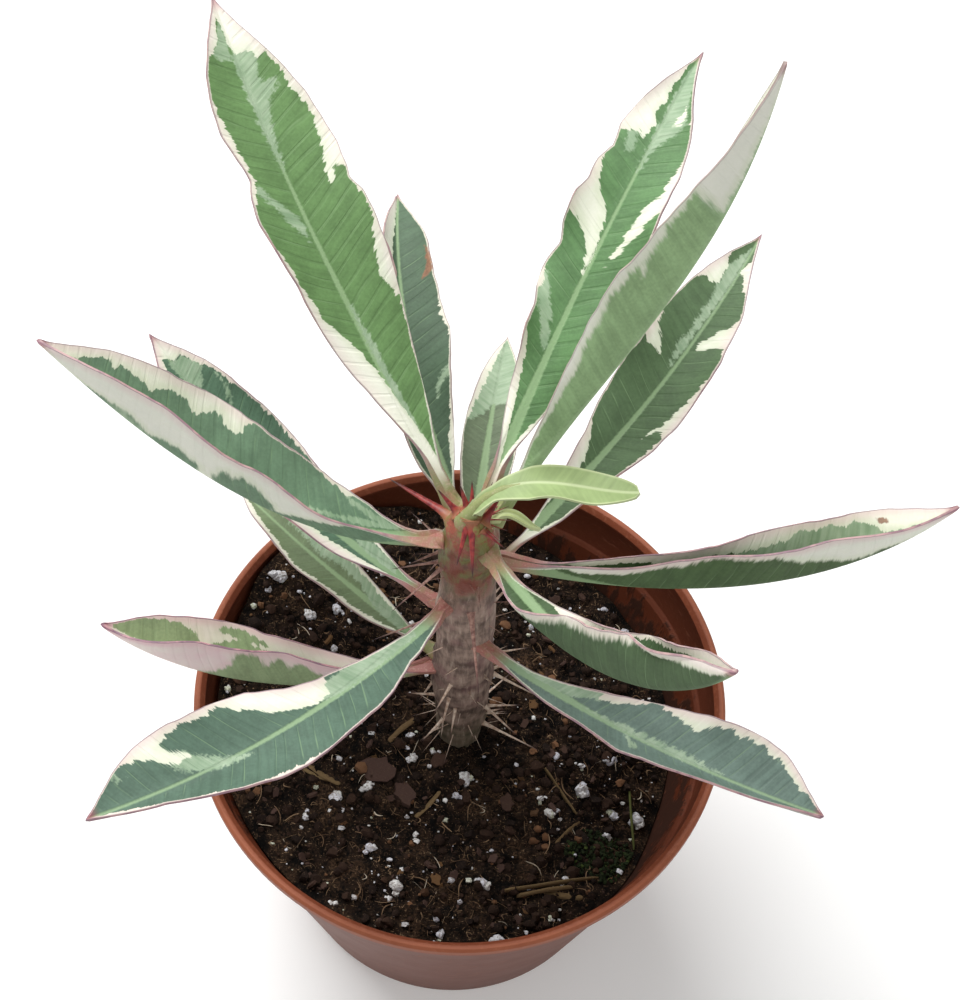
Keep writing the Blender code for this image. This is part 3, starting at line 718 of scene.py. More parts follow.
# %% The leaves at the back
MARKS["leaf_back_left"] = marks(
    (104, 138, 86), 0.4,
    ("cream", (-120, 56), (-96, 53), (-88, 49), (-92, 46), (-78, 43), (-80, 40), (-62, 37), (-45, 34),
     (-28, 30), (-15, 26), (-5, 22), (5, 19), (25, 14), (60, 9), (120, 7), (120, 3), (-120, 3)),
    ("cream", (-120, 60), (-80, 62), (-60, 66), (-62, 70), (-72, 75), (-87, 80), (-97, 84), (-120, 87)),
    ("cream", (-120, 90), (-85, 89), (-50, 91), (-35, 96), (-18, 95), (-5, 90), (0, 89), (45, 89),
     (50, 87), (90, 88), (120, 84), (120, 105), (-120, 105)),
    ("cream", (120, 89), (76, 88), (84, 84), (78, 81), (86, 77), (84, 73), (76, 70), (66, 66), (58, 64),
     (62, 61), (72, 64), (83, 64), (90, 62), (93, 57), (96, 54), (88, 50), (80, 46), (75, 42), (80, 41),
     (90, 38), (96, 38), (98, 33), (101, 25), (120, 20)),
    ("pale", (-10, 89), (-8, 80), (-5, 72), (0, 66), (8, 70), (14, 75), (30, 79), (65, 82), (60, 83),
     (30, 83), (40, 86), (60, 88), (45, 90)),
    ("pale", (-60, 65), (-70, 64), (-50, 61), (-30, 57), (-12, 53), (-8, 56), (-20, 59), (-40, 62)),
    ("pale", (-80, 90), (-50, 88), (-10, 88), (-12, 96), (-35, 95), (-55, 91)),
    ("pale", (-4, 22), (5, 17), (25, 12), (20, 22), (12, 32), (8, 40), (2, 40), (-2, 30)),
    left=((58, 100), (63, 84), (66, 70), (69, 73), (75, 86), (82, 97), (87, 100)),
    right=((0, 100), (52, 104), (58, 96), (61, 88), (65, 92), (71, 100), (80, 96), (88, 90), (94, 84)),
)
MARKS["leaf_back_left_low"] = marks(
    (80, 102, 80), 0.35,
    ("cream", (-120, 30), (-95, 45), (-60, 55), (-35, 70), (-15, 88), (-8, 97), (-120, 105)),
    ("cream", (120, 47), (95, 51), (85, 56), (80, 58), (84, 60), (88, 64), (90, 70), (92, 78), (120, 84)),
    ("cream", (120, 40), (98, 37), (88, 30), (75, 22), (70, 14), (120, 5)),
    ("pale", (45, 36), (60, 39), (85, 41), (120, 42), (120, 39), (80, 38), (50, 34)),
    ("scar", (52, 69), (66, 70), (88, 72), (92, 79), (80, 80), (76, 75), (60, 71)),
    right=((50, 100), (58, 92), (70, 86), (78, 90), (85, 100)),
)
MARKS["leaf_back_small"] = marks(
    (104, 118, 92), 0.3,
    ("pale", (-120, 44), (-40, 50), (0, 56), (50, 56), (120, 50), (120, 105), (-120, 105)),
    ("cream", (-120, 40), (-85, 50), (-60, 66), (-50, 82), (-40, 95), (-120, 105)),
)
MARKS["leaf_back_right"] = marks(
    (96, 132, 86), 0.5,
    ("cream", (-120, 42), (-100, 36), (-80, 33), (-68, 28), (-62, 22), (-50, 17), (-35, 12), (0, 8),
     (60, 14), (80, 18), (120, 20), (120, 2), (-120, 2)),
    ("cream", (-120, 46), (-92, 48), (-85, 44), (-100, 42), (-120, 43)),
    ("pale", (-100, 47), (-85, 47), (-60, 43), (-40, 40), (-22, 36), (-15, 32), (-30, 33), (-60, 37),
     (-80, 40), (-95, 42)),
    ("cream", (-120, 58), (-95, 60), (-70, 59), (-45, 57), (-20, 53), (-5, 49), (-2, 53), (-10, 59),
     (-20, 62), (-36, 64), (-56, 66), (-78, 70), (-92, 74), (-120, 77)),
    ("cream", (-120, 77), (-80, 79), (-50, 80), (-26, 79), (-20, 82), (-34, 85), (-28, 88), (-44, 91),
     (-40, 94), (-62, 97), (-120, 100)),
    ("pale", (-70, 79), (-52, 80), (-35, 76), (-48, 75), (-62, 77)),
    ("pale", (0, 72), (15, 78), (30, 80), (45, 82), (65, 85), (50, 90), (35, 97), (-20, 96), (-12, 88)),
    ("cream", (25, 83), (45, 88), (60, 87), (50, 84)),
    ("cream", (120, 80), (85, 77), (72, 72), (75, 69), (60, 68), (52, 65), (42, 61), (35, 57), (28, 52),
     (36, 53), (50, 57), (65, 60), (80, 64), (95, 66), (120, 68)),
    ("cream", (120, 86), (75, 85), (90, 92), (60, 97), (120, 100)),
    left=((36, 100), (40, 90), (44, 101), (49, 98), (53, 86), (57, 96), (63, 101), (67, 88), (71, 95),
          (75, 84), (80, 101)),
    right=((60, 100), (72, 92), (82, 88), (86, 78), (92, 60), (97, 50)),
)
print("leaves marked so far:", len(MARKS))

# %% The leaves on the right
# Painted light: this leaf's own green is made paler, standing in for light shining through its blade.
MARKS["leaf_right_upright"] = marks(
    (148, 178, 130), 0.05,
    ("cream", (120, 10), (85, 18), (80, 28), (75, 33), (85, 38), (80, 42), (92, 48), (85, 52), (80, 57),
     (65, 55), (75, 60), (72, 64), (78, 66), (70, 70), (72, 74), (40, 73), (20, 72), (12, 72), (10, 82),
     (6, 92), (3, 99), (120, 105)),
    ("cream", (-120, 105), (-4, 98), (-8, 88), (-12, 80), (-20, 73), (-50, 72), (-82, 71), (-90, 66),
     (-95, 60), (-88, 50), (-92, 40), (-85, 30), (-120, 22)),
    ("pale", (12, 72), (50, 73), (75, 78), (40, 84), (10, 88)),
    left=((50, 100), (62, 90), (72, 76), (82, 66), (94, 62)),
    right=((50, 100), (62, 90), (72, 76), (82, 66), (94, 62)),
)
MARKS["leaf_right_back"] = marks(
    (86, 110, 76), 0.6,
    ("cream", (-120, 42), (-95, 40), (-75, 37), (-55, 34), (-40, 31), (-30, 28), (-45, 22), (-50, 15),
     (0, 10), (60, 12), (88, 17), (92, 22), (97, 30), (93, 38), (90, 44), (78, 46), (65, 45), (54, 42),
     (58, 45), (70, 48), (80, 52), (86, 56), (92, 60), (120, 62), (120, 2), (-120, 2)),
    ("cream", (-120, 70), (-95, 70), (-85, 67), (-70, 65), (-50, 63), (-45, 61), (-62, 62), (-82, 61),
     (-90, 63), (-120, 61)),
    ("cream", (-120, 80), (-95, 82), (-75, 84), (-60, 83), (-35, 84), (-50, 88), (-65, 90), (-80, 92),
     (-90, 95), (-120, 97)),
    ("pale", (-20, 62), (-25, 80), (-35, 84), (-50, 90), (-10, 96), (0, 90), (-5, 75), (-8, 60)),
    ("cream", (5, 88), (12, 91), (30, 92), (42, 94), (120, 100), (120, 80), (80, 82), (60, 84),
     (48, 84), (40, 86), (25, 88)),
    ("cream", (120, 63), (95, 66), (80, 69), (60, 69), (40, 67), (20, 66), (15, 68), (25, 70), (40, 73),
     (60, 74), (75, 77), (84, 80), (120, 82)),
    left=((0, 60), (15, 62), (30, 85), (42, 100)),
    right=((60, 100), (66, 96), (72, 86), (80, 80), (86, 64), (92, 52), (98, 50)),
)
# Painted shade: this leaf's own green is darkened, for its outer face turned away from the light.
MARKS["leaf_right"] = marks(
    (76, 98, 62), 0.7,
    ("cream", (120, 8), (60, 16), (70, 25), (82, 30), (88, 35), (80, 38), (90, 42), (94, 48), (88, 55),
     (84, 60), (66, 63), (56, 66), (50, 70), (30, 73), (22, 77), (26, 82), (12, 90), (6, 98),
     (120, 105)),
    ("cream", (-120, 8), (-60, 16), (-75, 25), (-65, 35), (-72, 45), (-65, 55), (-70, 62), (-85, 65),
     (-80, 70), (-86, 73), (-72, 76), (-78, 79), (-60, 82), (-34, 84), (-18, 90), (-4, 99), (-120, 105)),
    ("pale", (-120, 52), (-40, 50), (-14, 56), (-14, 96), (-120, 96)),
    ("scar", (-78, 83), (-62, 83), (-58, 85), (-72, 85)),
)
# Painted shade: this leaf's own green is darkened, for its outer face turned away from the light.
MARKS["leaf_front_right_high"] = marks(
    (76, 98, 66), 0.5,
    ("cream", (120, 12), (88, 18), (80, 30), (90, 40), (84, 50), (90, 60), (84, 70), (76, 80), (60, 88),
     (35, 94), (10, 99), (120, 105)),
    ("cream", (-120, 20), (-78, 22), (-58, 27), (-72, 32), (-85, 38), (-92, 60), (-80, 78), (-50, 92),
     (-10, 99), (-120, 105)),
)
MARKS["leaf_front_right"] = marks(
    (108, 128, 118), 0.7,
    ("cream", (-120, 50), (-97, 48), (-88, 45), (-78, 42), (-62, 36), (-70, 34), (-120, 36)),
    ("pale", (-120, 37), (-66, 36), (-45, 30), (-20, 27), (-25, 10), (-120, 8)),
    ("cream", (-120, 52), (-90, 51), (-82, 54), (-70, 58), (-64, 62), (-74, 64), (-86, 66), (-90, 70),
     (-80, 73), (-88, 76), (-86, 80), (-76, 82), (-84, 85), (-68, 87), (-62, 90), (-50, 92), (-56, 95),
     (-30, 98), (-120, 105)),
    ("pale", (-110, 89), (-86, 86), (-76, 84), (-90, 88)),
    ("cream", (120, 10), (82, 14), (76, 30), (88, 45), (82, 60), (88, 75), (70, 88), (30, 96), (120, 105)),
    ("pale", (-6, 30), (-16, 45), (-16, 60), (-5, 72), (2, 62), (0, 45)),
    ("pale", (5, 45), (30, 50), (45, 48), (30, 47)),
    left=((88, 100), (94, 86)),
    right=((0, 100), (8, 70), (16, 55), (30, 62), (40, 72), (46, 78), (52, 62), (60, 66), (68, 78),
           (78, 62), (90, 60)),
)
print("leaves marked so far:", len(MARKS))

# %% The leaves on the left
MARKS["leaf_front_left"] = marks(
    (84, 108, 92), 0.7,
    ("cream", (120, 33), (75, 38), (50, 39), (20, 40), (8, 44), (25, 49), (40, 53), (62, 56), (72, 60),
     (85, 62), (90, 66), (84, 67), (80, 69), (88, 73), (82, 79), (72, 80), (50, 77), (35, 75), (25, 78),
     (40, 80), (60, 83), (75, 86), (94, 90), (120, 92)),
    ("pale", (-12, 62), (5, 68), (25, 72), (45, 76), (40, 80), (25, 79), (12, 77), (0, 73), (-12, 69)),
    ("pale", (-8, 12), (0, 38), (10, 43), (50, 40), (70, 33), (72, 25), (80, 12)),
    ("pale", (60, 90), (80, 91), (120, 92), (120, 95), (90, 93), (60, 91)),
    ("cream", (-120, 68), (-84, 73), (-68, 78), (-50, 84), (-25, 92), (-8, 98), (-120, 105)),
    ("cream", (-120, 48), (-94, 52), (-90, 60), (-94, 68), (-120, 70)),
    left=((5, 100), (12, 75), (20, 62), (30, 82), (40, 100), (70, 96), (78, 72), (84, 50), (95, 45)),
    right=((5, 100), (20, 84), (30, 76), (40, 70), (48, 80), (56, 100), (86, 100)),
)
MARKS["leaf_left_low"] = marks(
    (146, 164, 124), 1.0,
    ("cream", (-120, 8), (120, 8), (120, 105), (-120, 105)),
    ("green", (5, 16), (-30, 22), (-60, 33), (-78, 36), (-80, 39), (-62, 41), (-85, 44), (-82, 47),
     (-55, 49), (-88, 52), (-92, 56), (-88, 59), (-55, 60), (-25, 64), (-8, 70), (-5, 90), (0, 97),
     (5, 90), (4, 66), (20, 64), (45, 60), (58, 56), (50, 52), (25, 50), (42, 47), (42, 43), (35, 40),
     (45, 37), (30, 30), (20, 20)),
    ("green", (76, 66), (92, 65), (88, 57), (80, 51), (70, 48), (72, 58)),
    ("green", (14, 96), (10, 86), (26, 74), (48, 70), (66, 72), (84, 80), (90, 90), (70, 94), (40, 97)),
    ("green", (8, 66), (6, 22), (36, 26), (52, 36), (60, 48), (70, 58), (56, 66)),
)
MARKS["leaf_left"] = marks(
    (110, 138, 112), 0.6,
    ("cream", (120, 15), (85, 22), (95, 30), (100, 38), (98, 45), (95, 50), (85, 52), (75, 51),
     (70, 53), (72, 56), (82, 58), (80, 60), (68, 61), (62, 63), (70, 66), (75, 70), (68, 73), (58, 74),
     (66, 78), (74, 83), (60, 84), (80, 86), (68, 88), (55, 90), (30, 92), (10, 94), (-120, 105),
     (120, 105)),
    ("cream", (-120, 16), (-80, 22), (-55, 28), (-20, 36), (-8, 60), (-6, 96), (-120, 105)),
    ("green", (10, 36), (-40, 38), (-66, 44), (-70, 48), (-50, 49), (-62, 52), (-30, 53), (10, 50)),
    ("green", (12, 54), (-32, 57), (-40, 64), (-24, 70), (-34, 77), (-14, 88), (12, 90)),
    ("pale", (8, 66), (-15, 70), (-45, 79), (-52, 82), (-30, 81), (-15, 78), (8, 80)),
    ("pale", (60, 8), (78, 12), (86, 22), (70, 20), (50, 14), (30, 24), (16, 34), (24, 16), (40, 8)),
)
MARKS["leaf_left_back"] = marks(
    (86, 114, 92), 0.72,
    ("cream", (-120, 8), (-60, 14), (-52, 25), (-54, 38), (-62, 48), (-78, 60), (-90, 72), (-80, 85),
     (-40, 93), (0, 92), (20, 91), (60, 91), (68, 88), (88, 84), (92, 82), (88, 79), (97, 75), (92, 70),
     (95, 60), (90, 45), (88, 30), (80, 15), (120, 5), (120, 105), (-120, 105)),
    ("pale", (-20, 91), (0, 84), (20, 81), (45, 83), (65, 85), (80, 86), (60, 91)),
    ("pale", (45, 73), (68, 78), (84, 82), (80, 79), (60, 75)),
    ("pale", (0, 12), (10, 22), (35, 28), (60, 30), (75, 22), (80, 13)),
    ("pale", (-20, 42), (0, 40), (40, 34), (80, 28), (100, 26), (40, 38), (0, 45)),
)
MARKS["leaf_left_under"] = marks(
    (112, 128, 94), 0.35,
    ("cream", (-120, 10), (-70, 14), (-82, 36), (-86, 55), (-72, 78), (-30, 96), (-120, 105)),
    ("cream", (120, 10), (72, 16), (78, 30), (90, 42), (82, 60), (88, 72), (40, 94), (120, 105)),
    ("pale", (120, 10), (30, 14), (44, 40), (24, 56), (46, 78), (120, 92)),
    ("pale", (30, 58), (45, 53), (60, 55), (70, 58), (88, 60), (88, 70), (70, 73), (45, 70), (32, 64)),
    ("pale", (-10, 26), (30, 33), (60, 37), (95, 42), (120, 42), (120, 12), (-50, 12)),
)
print("leaves marked so far:", len(MARKS))

# %% The young leaf and the bud
MARKS["young_leaf"] = marks(
    (140, 158, 108), 0.0,
    left=((0, 100), (18, 60), (26, 76), (40, 100)),
    right=((0, 100), (18, 60), (26, 76), (40, 100)),
)
MARKS["leaf_bud"] = marks((176, 186, 122), 0.0)
print("marked areas:", sum(len(entry["areas"]) for entry in MARKS.values()))

# %% [markdown]
# ## Making a leaf
#
# The grid gets its points, then the marks are measured on it, and Solidify gives it a thickness below. The
# three sides of a blade, upper face, under face and thin edge, each get their own finish. The marks could
# be cut into the grid as edges, but stored numbers leave its faces even.

# %% Measuring a mark
FAR_OUT = -9 * MM


def inside_outline(outline, across, lengthwise):
    """How far inside a closed outline each point is, in the outline's own units; negative outside."""
    nearest = np.full(across.shape, 1e9)
    inside = np.zeros(across.shape, bool)
    for (x1, y1), (x2, y2) in zip(outline, outline[1:] + outline[:1]):
        run, climb = x2 - x1, y2 - y1
        share = ((across - x1) * run + (lengthwise - y1) * climb) / max(run**2 + climb**2, 1e-9)
        share = np.clip(share, 0, 1)
        nearest = np.minimum(nearest, np.hypot(across - x1 - share * run, lengthwise - y1 - share * climb))
        if climb:
            crossing = x1 + (lengthwise - y1) * run / climb
            inside ^= ((y1 > lengthwise) != (y2 > lengthwise)) & (across < crossing)
    return np.where(inside, nearest, -nearest)


def measure_marks(sizes, entry, across, lengthwise):
    """How far inside the cream, the half-tone and a scar each point is, in metres."""
    spread = (sum(sizes["half_width"]) / 2 * MM, sizes["length"] * MM)
    found = {kind: np.full(across.shape, FAR_OUT) for kind in ("cream", "pale", "scar")}
    for kind, *outline in entry["areas"]:
        scaled = [(x / 100 * spread[0], y / 100 * spread[1]) for x, y in outline]
        far_in = inside_outline(scaled, across * spread[0], lengthwise * spread[1])
        if kind == "green":
            found["cream"] = np.minimum(found["cream"], -far_in)
        else:
            found[kind] = np.maximum(found[kind], far_in)
    return found


middle = np.array([1.0])
square = [(0, 0), (2, 0), (2, 2), (0, 2)]
print("how far inside a square of 2 its middle is:", inside_outline(square, middle, middle))

# %% [markdown]
# A real blade's edge is never as even as a formula. It reaches a little less or more along its length: by
# the marks' own figures, by small swings, and by a trim near the stalk and the tip. The first rows are sunk
# into the stem, because a leaf grows out of it and has no cut end there.

# %% A leaf's edge and foot
WOBBLE = 0.04
WOBBLE_WAVES = ((3.1, 0.5, 1), (1.7, 0.3, 2.3), (0.8, 0.2, 3.1))
TRIM_SHARES = (0, 0.03, 0.07, 0.16, 0.86, 0.92, 0.96, 0.985, 1)
TRIM_REACH = (1, 0.78, 0.72, 1, 1, 0.9, 0.72, 0.5, 0.4)
SUNK_ROWS = ((0, 2.6 * MM, 0.5), (1, 1.2 * MM, 0.9))


def reach_along(pairs, shares):
    """How far a side reaches at each share of the length, as a column for the grid."""
    return np.interp(shares * 100, [pair[0] for pair in pairs], [pair[1] / 100 for pair in pairs])[:, None]


def wobble(sizes, places, shares):
    """Small swings of the edge from -1 to 1, different on each side of each leaf."""
    begin = sizes["length"] * 1.7 + np.sign(places) * sizes["azimuth"]
    run = shares[:, None] * sizes["length"]
    swing = sum(size * np.sin(run / spacing + begin * shift) for spacing, size, shift in WOBBLE_WAVES)
    return swing * np.sin(np.pi * shares[:, None]) ** 0.5


def sink_foot(points):
    """Moves a leaf's first two rows into the stem and draws them together, so no cut end shows."""
    foot = points[2].mean(0)
    inward = np.array([-foot[0], -foot[1], 0]) / np.hypot(foot[0], foot[1])
    for row, depth, share in SUNK_ROWS:
        points[row] = foot + (points[2] - foot) * share + inward * depth


print("notches and trims of the first leaf:", len(MARKS["leaf_back_left"]["left"]), len(TRIM_SHARES))

# %% Grids with numbers on their points
LEAF_ROWS = 170
LEAF_COLUMNS = 45
LONGEST_LEAF = 95
FEWEST_ROWS = 40
SHORT_LEAF = 40
SHORT_LEAF_COLUMNS = 21
FURTHEST_REACH = 1.06


def store(piece, name, values):
    """Keeps one number for each point of a piece, for its finish to read."""
    layer = piece.data.attributes.new(name, "FLOAT", "POINT")
    layer.data.foreach_set("value", np.asarray(values, dtype=np.float32).ravel())


def grid_piece(name, points):
    """A grid whose points are moved to the given rows and columns."""
    rows, columns = points.shape[:2]
    grid_add = bpy.ops.mesh.primitive_grid_add
    piece = add_shape(name, grid_add, x_subdivisions=columns - 1, y_subdivisions=rows - 1)
    piece.data.vertices.foreach_set("co", points.reshape(-1))
    piece.data.update()
    return piece


def leaf_grid(sizes, entry):
    """The shares of the length, and for each point its column's place, its share and its place across."""
    length = sizes["length"]
    rows = max(FEWEST_ROWS, round(LEAF_ROWS * length / LONGEST_LEAF))
    columns = LEAF_COLUMNS if length > SHORT_LEAF else SHORT_LEAF_COLUMNS
    shares = np.concatenate([[0, 0], np.linspace(0, 1, rows)])
    places, lengthwise = np.meshgrid(np.linspace(-1, 1, columns), shares)
    reach = np.where(places < 0, reach_along(entry["left"], shares), reach_along(entry["right"], shares))
    reach *= 1 + WOBBLE * wobble(sizes, places, shares)
    if length > SHORT_LEAF:
        reach *= np.interp(shares, TRIM_SHARES, TRIM_REACH)[:, None]
    return shares, places, lengthwise, places * np.minimum(reach, FURTHEST_REACH)


print("points in a long blade:", LEAF_ROWS * LEAF_COLUMNS)

# %% One leaf
VEIN_SLANT = 0.55
MERGE_DISTANCE = 0.001 * MM
YOUNG = ("young_leaf", "leaf_bud")


def store_leaf(piece, sizes, entry, places, lengthwise, across):
    """Stores what the finish needs to know at each point: its marks, its distances and its colours."""
    for kind, far_in in measure_marks(sizes, entry, across, lengthwise).items():
        store(piece, kind, far_in)
    half = np.zeros(across.shape)
    for side, chosen in ((0, across < 0), (1, across >= 0)):
        width = blade_width(lengthwise, sizes["widest"][side], sizes["blunt"], sizes["stalk_share"])
        half = np.where(chosen, sizes["half_width"][side] * MM * width, half)
    outermost = np.where(places < 0, np.abs(across[:, :1]), np.abs(across[:, -1:]))
    store(piece, "rib", np.abs(across) * half)
    store(piece, "edge", (outermost - np.abs(across)) * half)
    store(piece, "vein", lengthwise * sizes["length"] * MM - VEIN_SLANT * np.abs(across) * half)
    store(piece, "side", np.sign(places))
    store(piece, "share", lengthwise)
    store(piece, "blush", np.full(across.shape, entry["blush"]))
    tint = piece.data.attributes.new("green", "FLOAT_COLOR", "POINT")
    tint.data.foreach_set("color", np.tile(linear(*entry["green"]), across.size))


def thicken(piece, sizes, places, lengthwise):
    """Solidifies a blade downwards, as thick at each point as the solids are there."""
    group = piece.vertex_groups.new(name="thickness")
    for index, (share, place) in enumerate(zip(lengthwise.ravel(), places.ravel())):
        group.add([index], blade_thickness(sizes, share, place) / sizes["stalk_thickness"], "REPLACE")
    weld = piece.modifiers.new("Weld", "WELD")
    weld.merge_threshold = MERGE_DISTANCE
    thick = piece.modifiers.new("Thickness", "SOLIDIFY")
    thick.thickness = sizes["stalk_thickness"]
    thick.offset = -1
    thick.vertex_group = group.name
    thick.material_offset = 1
    thick.material_offset_rim = 2
    take_modifiers(piece)


def make_leaf(sizes, finishes):
    """One leaf with its finishes, in the order upper face, under face and edge."""
    name = sizes["name"]
    shares, places, lengthwise, across = leaf_grid(sizes, MARKS[name])
    points = blade_points(sizes, shares, across)
    sink_foot(points)
    piece = grid_piece(name + "_blade", points)
    store_leaf(piece, sizes, MARKS[name], places, lengthwise, across)
    for finish in finishes:
        piece.data.materials.append(finish)
    thicken(piece, sizes, places, lengthwise)
    settle(piece, name, "young_leaf" if name in YOUNG else "leaf", sharp=50)
    return piece


print("numbers stored on a leaf: cream, pale, scar, rib, edge, vein, side, share, blush, green")

# %% [markdown]
# The blade's finish is built once and used by all leaves. Coordinates made of the vein line and the
# distance from the midrib make noise that is long along the side veins and short across them. That noise
# pushes the cream's border in and out, so it gets teeth that lie along the veins, as on the real leaf.

# %% Noise along the veins
CREAM = (247, 246, 234)
PURPLE = (132, 100, 116)
SIDE_SHIFT = 7.3
TEETH = (1.1 * MM, 6 * MM)


def vein_place(start, across_size, along_size):
    """A place for noise that is stretched along the side veins."""
    vein = start.attribute("vein") / across_size
    rib = start.attribute("rib") / along_size
    side = start.attribute("side") * SIDE_SHIFT
    return start.node("ShaderNodeCombineXYZ", inputs={0: vein, 1: rib, 2: side})


def noise_on(place, detail):
    """Soft noise on a place that is already counted in lumps."""
    inputs = {"Vector": place, "Scale": 1.0, "Detail": detail, "Roughness": 0.55}
    return place.node("ShaderNodeTexNoise", {"noise_dimensions": "3D"}, inputs)


def stored(start, *names):
    """The stored numbers with these names."""
    return [start.attribute(name) for name in names]


def stalk_colour(spot, blush):
    """Yellow-green where a leaf has no blush, and a dull pink mottled with green where it has."""
    mottle = spot.grain(1.6 * MM, 3)
    speck = spot.grain(0.4 * MM, 2)
    pinkness = (blush + (mottle - 0.5) * 0.9).rise(0.15, 0.85)
    skin = pinkness.colour((142, 150, 98), (168, 106, 98))
    return (speck.rise(0.5, 0.75) * 0.35).colour(skin, (204, 178, 158))


print("the teeth are this much longer than wide:", round(TEETH[1] / TEETH[0], 1))

# %% [markdown]
# A blade has three grounds. The green has paler side veins and a pale midrib. The half-tone is that green
# seen through a thin cream skin. The cream is greener at its border and pinker at the leaf's edge, and on
# the under face it is greyed with painted shade. Each ground is a function of its own, because the border
# decides between them last.

# %% The grounds of a blade
VEIN_SPACING = 2.7 * MM


def green_ground(start, green, mottle, speck, streak):
    """The green with its side veins and midrib, and how much of a vein and of the midrib is at a point."""
    edge, rib, share = stored(start, "edge", "rib", "share")
    dark = green.scaled(0.8)
    skin = (mottle * 0.45 + speck * 0.2 + streak * 0.35).rise(0.32, 0.68).colour(dark, green.scaled(1.2))
    wander = (noise_on(vein_place(start, 5 * MM, 16 * MM), 1) - 0.5) * 1.2
    phase = start.attribute("vein") / VEIN_SPACING + wander
    ridge = phase.sum("PINGPONG", phase, 0.5)
    off_rib = rib.rise(0.3 * MM, 1.0 * MM)
    vein_line = ridge.rise(0.055, 0.02) * off_rib * edge.rise(0.8 * MM, 2.5 * MM)
    vein_shade = ridge.rise(0.16, 0.05) * off_rib
    skin = (vein_shade * streak * 0.45).colour(skin, dark)
    skin = (vein_line * streak.rise(0.4, 0.65) * 0.3).colour(skin, (150, 180, 134))
    midrib_width = (1 - share) * (1 - share) * (1 - share) * (1.2 * MM) + 0.28 * MM
    midrib = (midrib_width - rib + (speck - 0.5) * (0.5 * MM) * (1.2 - share)).rise(-0.2 * MM, 0.25 * MM)
    return (midrib * 0.6).colour(skin, (164, 192, 146)), vein_shade, midrib


def half_tone_ground(green, mottle, streak):
    """The paler green, with a little of the leaf's own green in it."""
    tone = (mottle * 0.5 + streak * 0.5).rise(0.3, 0.7).colour((140, 166, 134), (186, 204, 176))
    return green.node("ShaderNodeMix", {"data_type": "RGBA"}, {0: 0.22, 6: tone, 7: green}, 2)


def cream_ground(start, depth, mottle, speck, upper):
    """The cream, from how deep inside its border a point is."""
    edge, share, blush = stored(start, "edge", "share", "blush")
    skin = (speck * 0.4 + mottle * 0.3).colour(CREAM, (228, 230, 206))
    # Painted shade: on the under face the cream is greyed.
    if not upper:
        skin = (mottle * 0.4 + 0.1).colour(skin, (210, 214, 208))
    skin = (depth.rise(2.2 * MM, 0) * 0.5).colour(skin, (206, 216, 184))
    flush = blush.rise(0.72, 1.0) * (mottle * 0.9 + 0.1) * (0.45 if upper else 1.0)
    skin = flush.colour(skin, (232, 194, 202))
    pink_edge = edge.rise(2.4 * MM, 0.1 * MM) * blush * share.rise(0.12, 0.3)
    return (pink_edge * 0.6).colour(skin, (226, 182, 190))


print("veins on the longest leaf's midrib:", round(LONGEST_LEAF * MM / VEIN_SPACING))

# %% A grown blade's faces
def blade_finish(name, upper):
    """The finish of a blade's upper or under face."""
    made, shader, start = new_finish(name, specular=0.26)
    spot = start.place()
    teeth = noise_on(vein_place(start, *TEETH), 3)
    fine = noise_on(vein_place(start, 0.35 * MM, 1.6 * MM), 2)
    streak = noise_on(vein_place(start, 0.8 * MM, 9 * MM), 3)
    mottle = spot.grain(4 * MM, 3)
    speck = spot.grain(0.5 * MM, 2)
    edge, share, blush = stored(start, "edge", "share", "blush")
    green = start.attribute("green", "Color")
    crisp = 0.14 * MM if upper else 0.6 * MM
    push = (teeth - 0.5) * (2.6 * MM) + (fine - 0.5) * (1.0 * MM)
    cream_depth = start.attribute("cream") + push
    pale_depth = start.attribute("pale") + (push + (speck - 0.5) * (1.4 * MM))
    skin, vein_shade, midrib = green_ground(start, green, mottle, speck, streak)
    skin = pale_depth.rise(-3 * crisp, 3 * crisp).colour(skin, half_tone_ground(green, mottle, streak))
    rim_cream = (edge + (fine - 0.5) * (0.3 * MM)).rise(0.45 * MM, 0.2 * MM)
    cream = cream_ground(start, cream_depth, mottle, speck, upper)
    skin = cream_depth.rise(-crisp, crisp).larger(rim_cream).colour(skin, cream)
    tip_blush = share.rise(0.965, 0.995) * (blush * 0.3 + 0.6)
    skin = (tip_blush * 0.8).colour(skin, (166, 62, 92))
    line = edge.rise(0.26 * MM, 0.10 * MM)
    skin = (line * (blush * 0.5 + 0.35)).colour(skin, PURPLE)
    base = (share + (mottle - 0.5) * 0.05).rise(0.10, 0.02)
    skin = (base * 0.9).colour(skin, stalk_colour(spot, blush))
    scar = (start.attribute("scar") + push * 0.6).rise(-0.2 * MM, 0.2 * MM)
    skin = (scar * 0.85).colour(skin, speck.colour((96, 56, 42), (176, 124, 92)))
    relief = vein_shade * -0.5 + midrib * (-1.0 if upper else 1.5) + speck * 0.2 + streak * 0.5
    feed(shader, Base_Color=skin, Roughness=0.5 + mottle * 0.12 + (0.0 if upper else 0.1),
         Normal=bump(relief, 0.16 * MM, 0.6))
    return made


print("a blade's faces: leaf_upper, leaf_under")

# %% Edges and young skin
def edge_finish():
    """The blade's thin edge: pinkish, with purple stretches."""
    made, shader, start = new_finish("leaf_edge")
    patchy = start.place().grain(2.5 * MM, 3)
    blush = start.attribute("blush")
    skin = blush.colour((172, 158, 146), (196, 146, 152))
    skin = (patchy.rise(0.4, 0.62) * (blush * 0.7 + 0.25)).colour(skin, PURPLE)
    base = start.attribute("share").rise(0.12, 0.04)
    feed(shader, Base_Color=base.colour(skin, stalk_colour(start.place(), blush)))
    return made


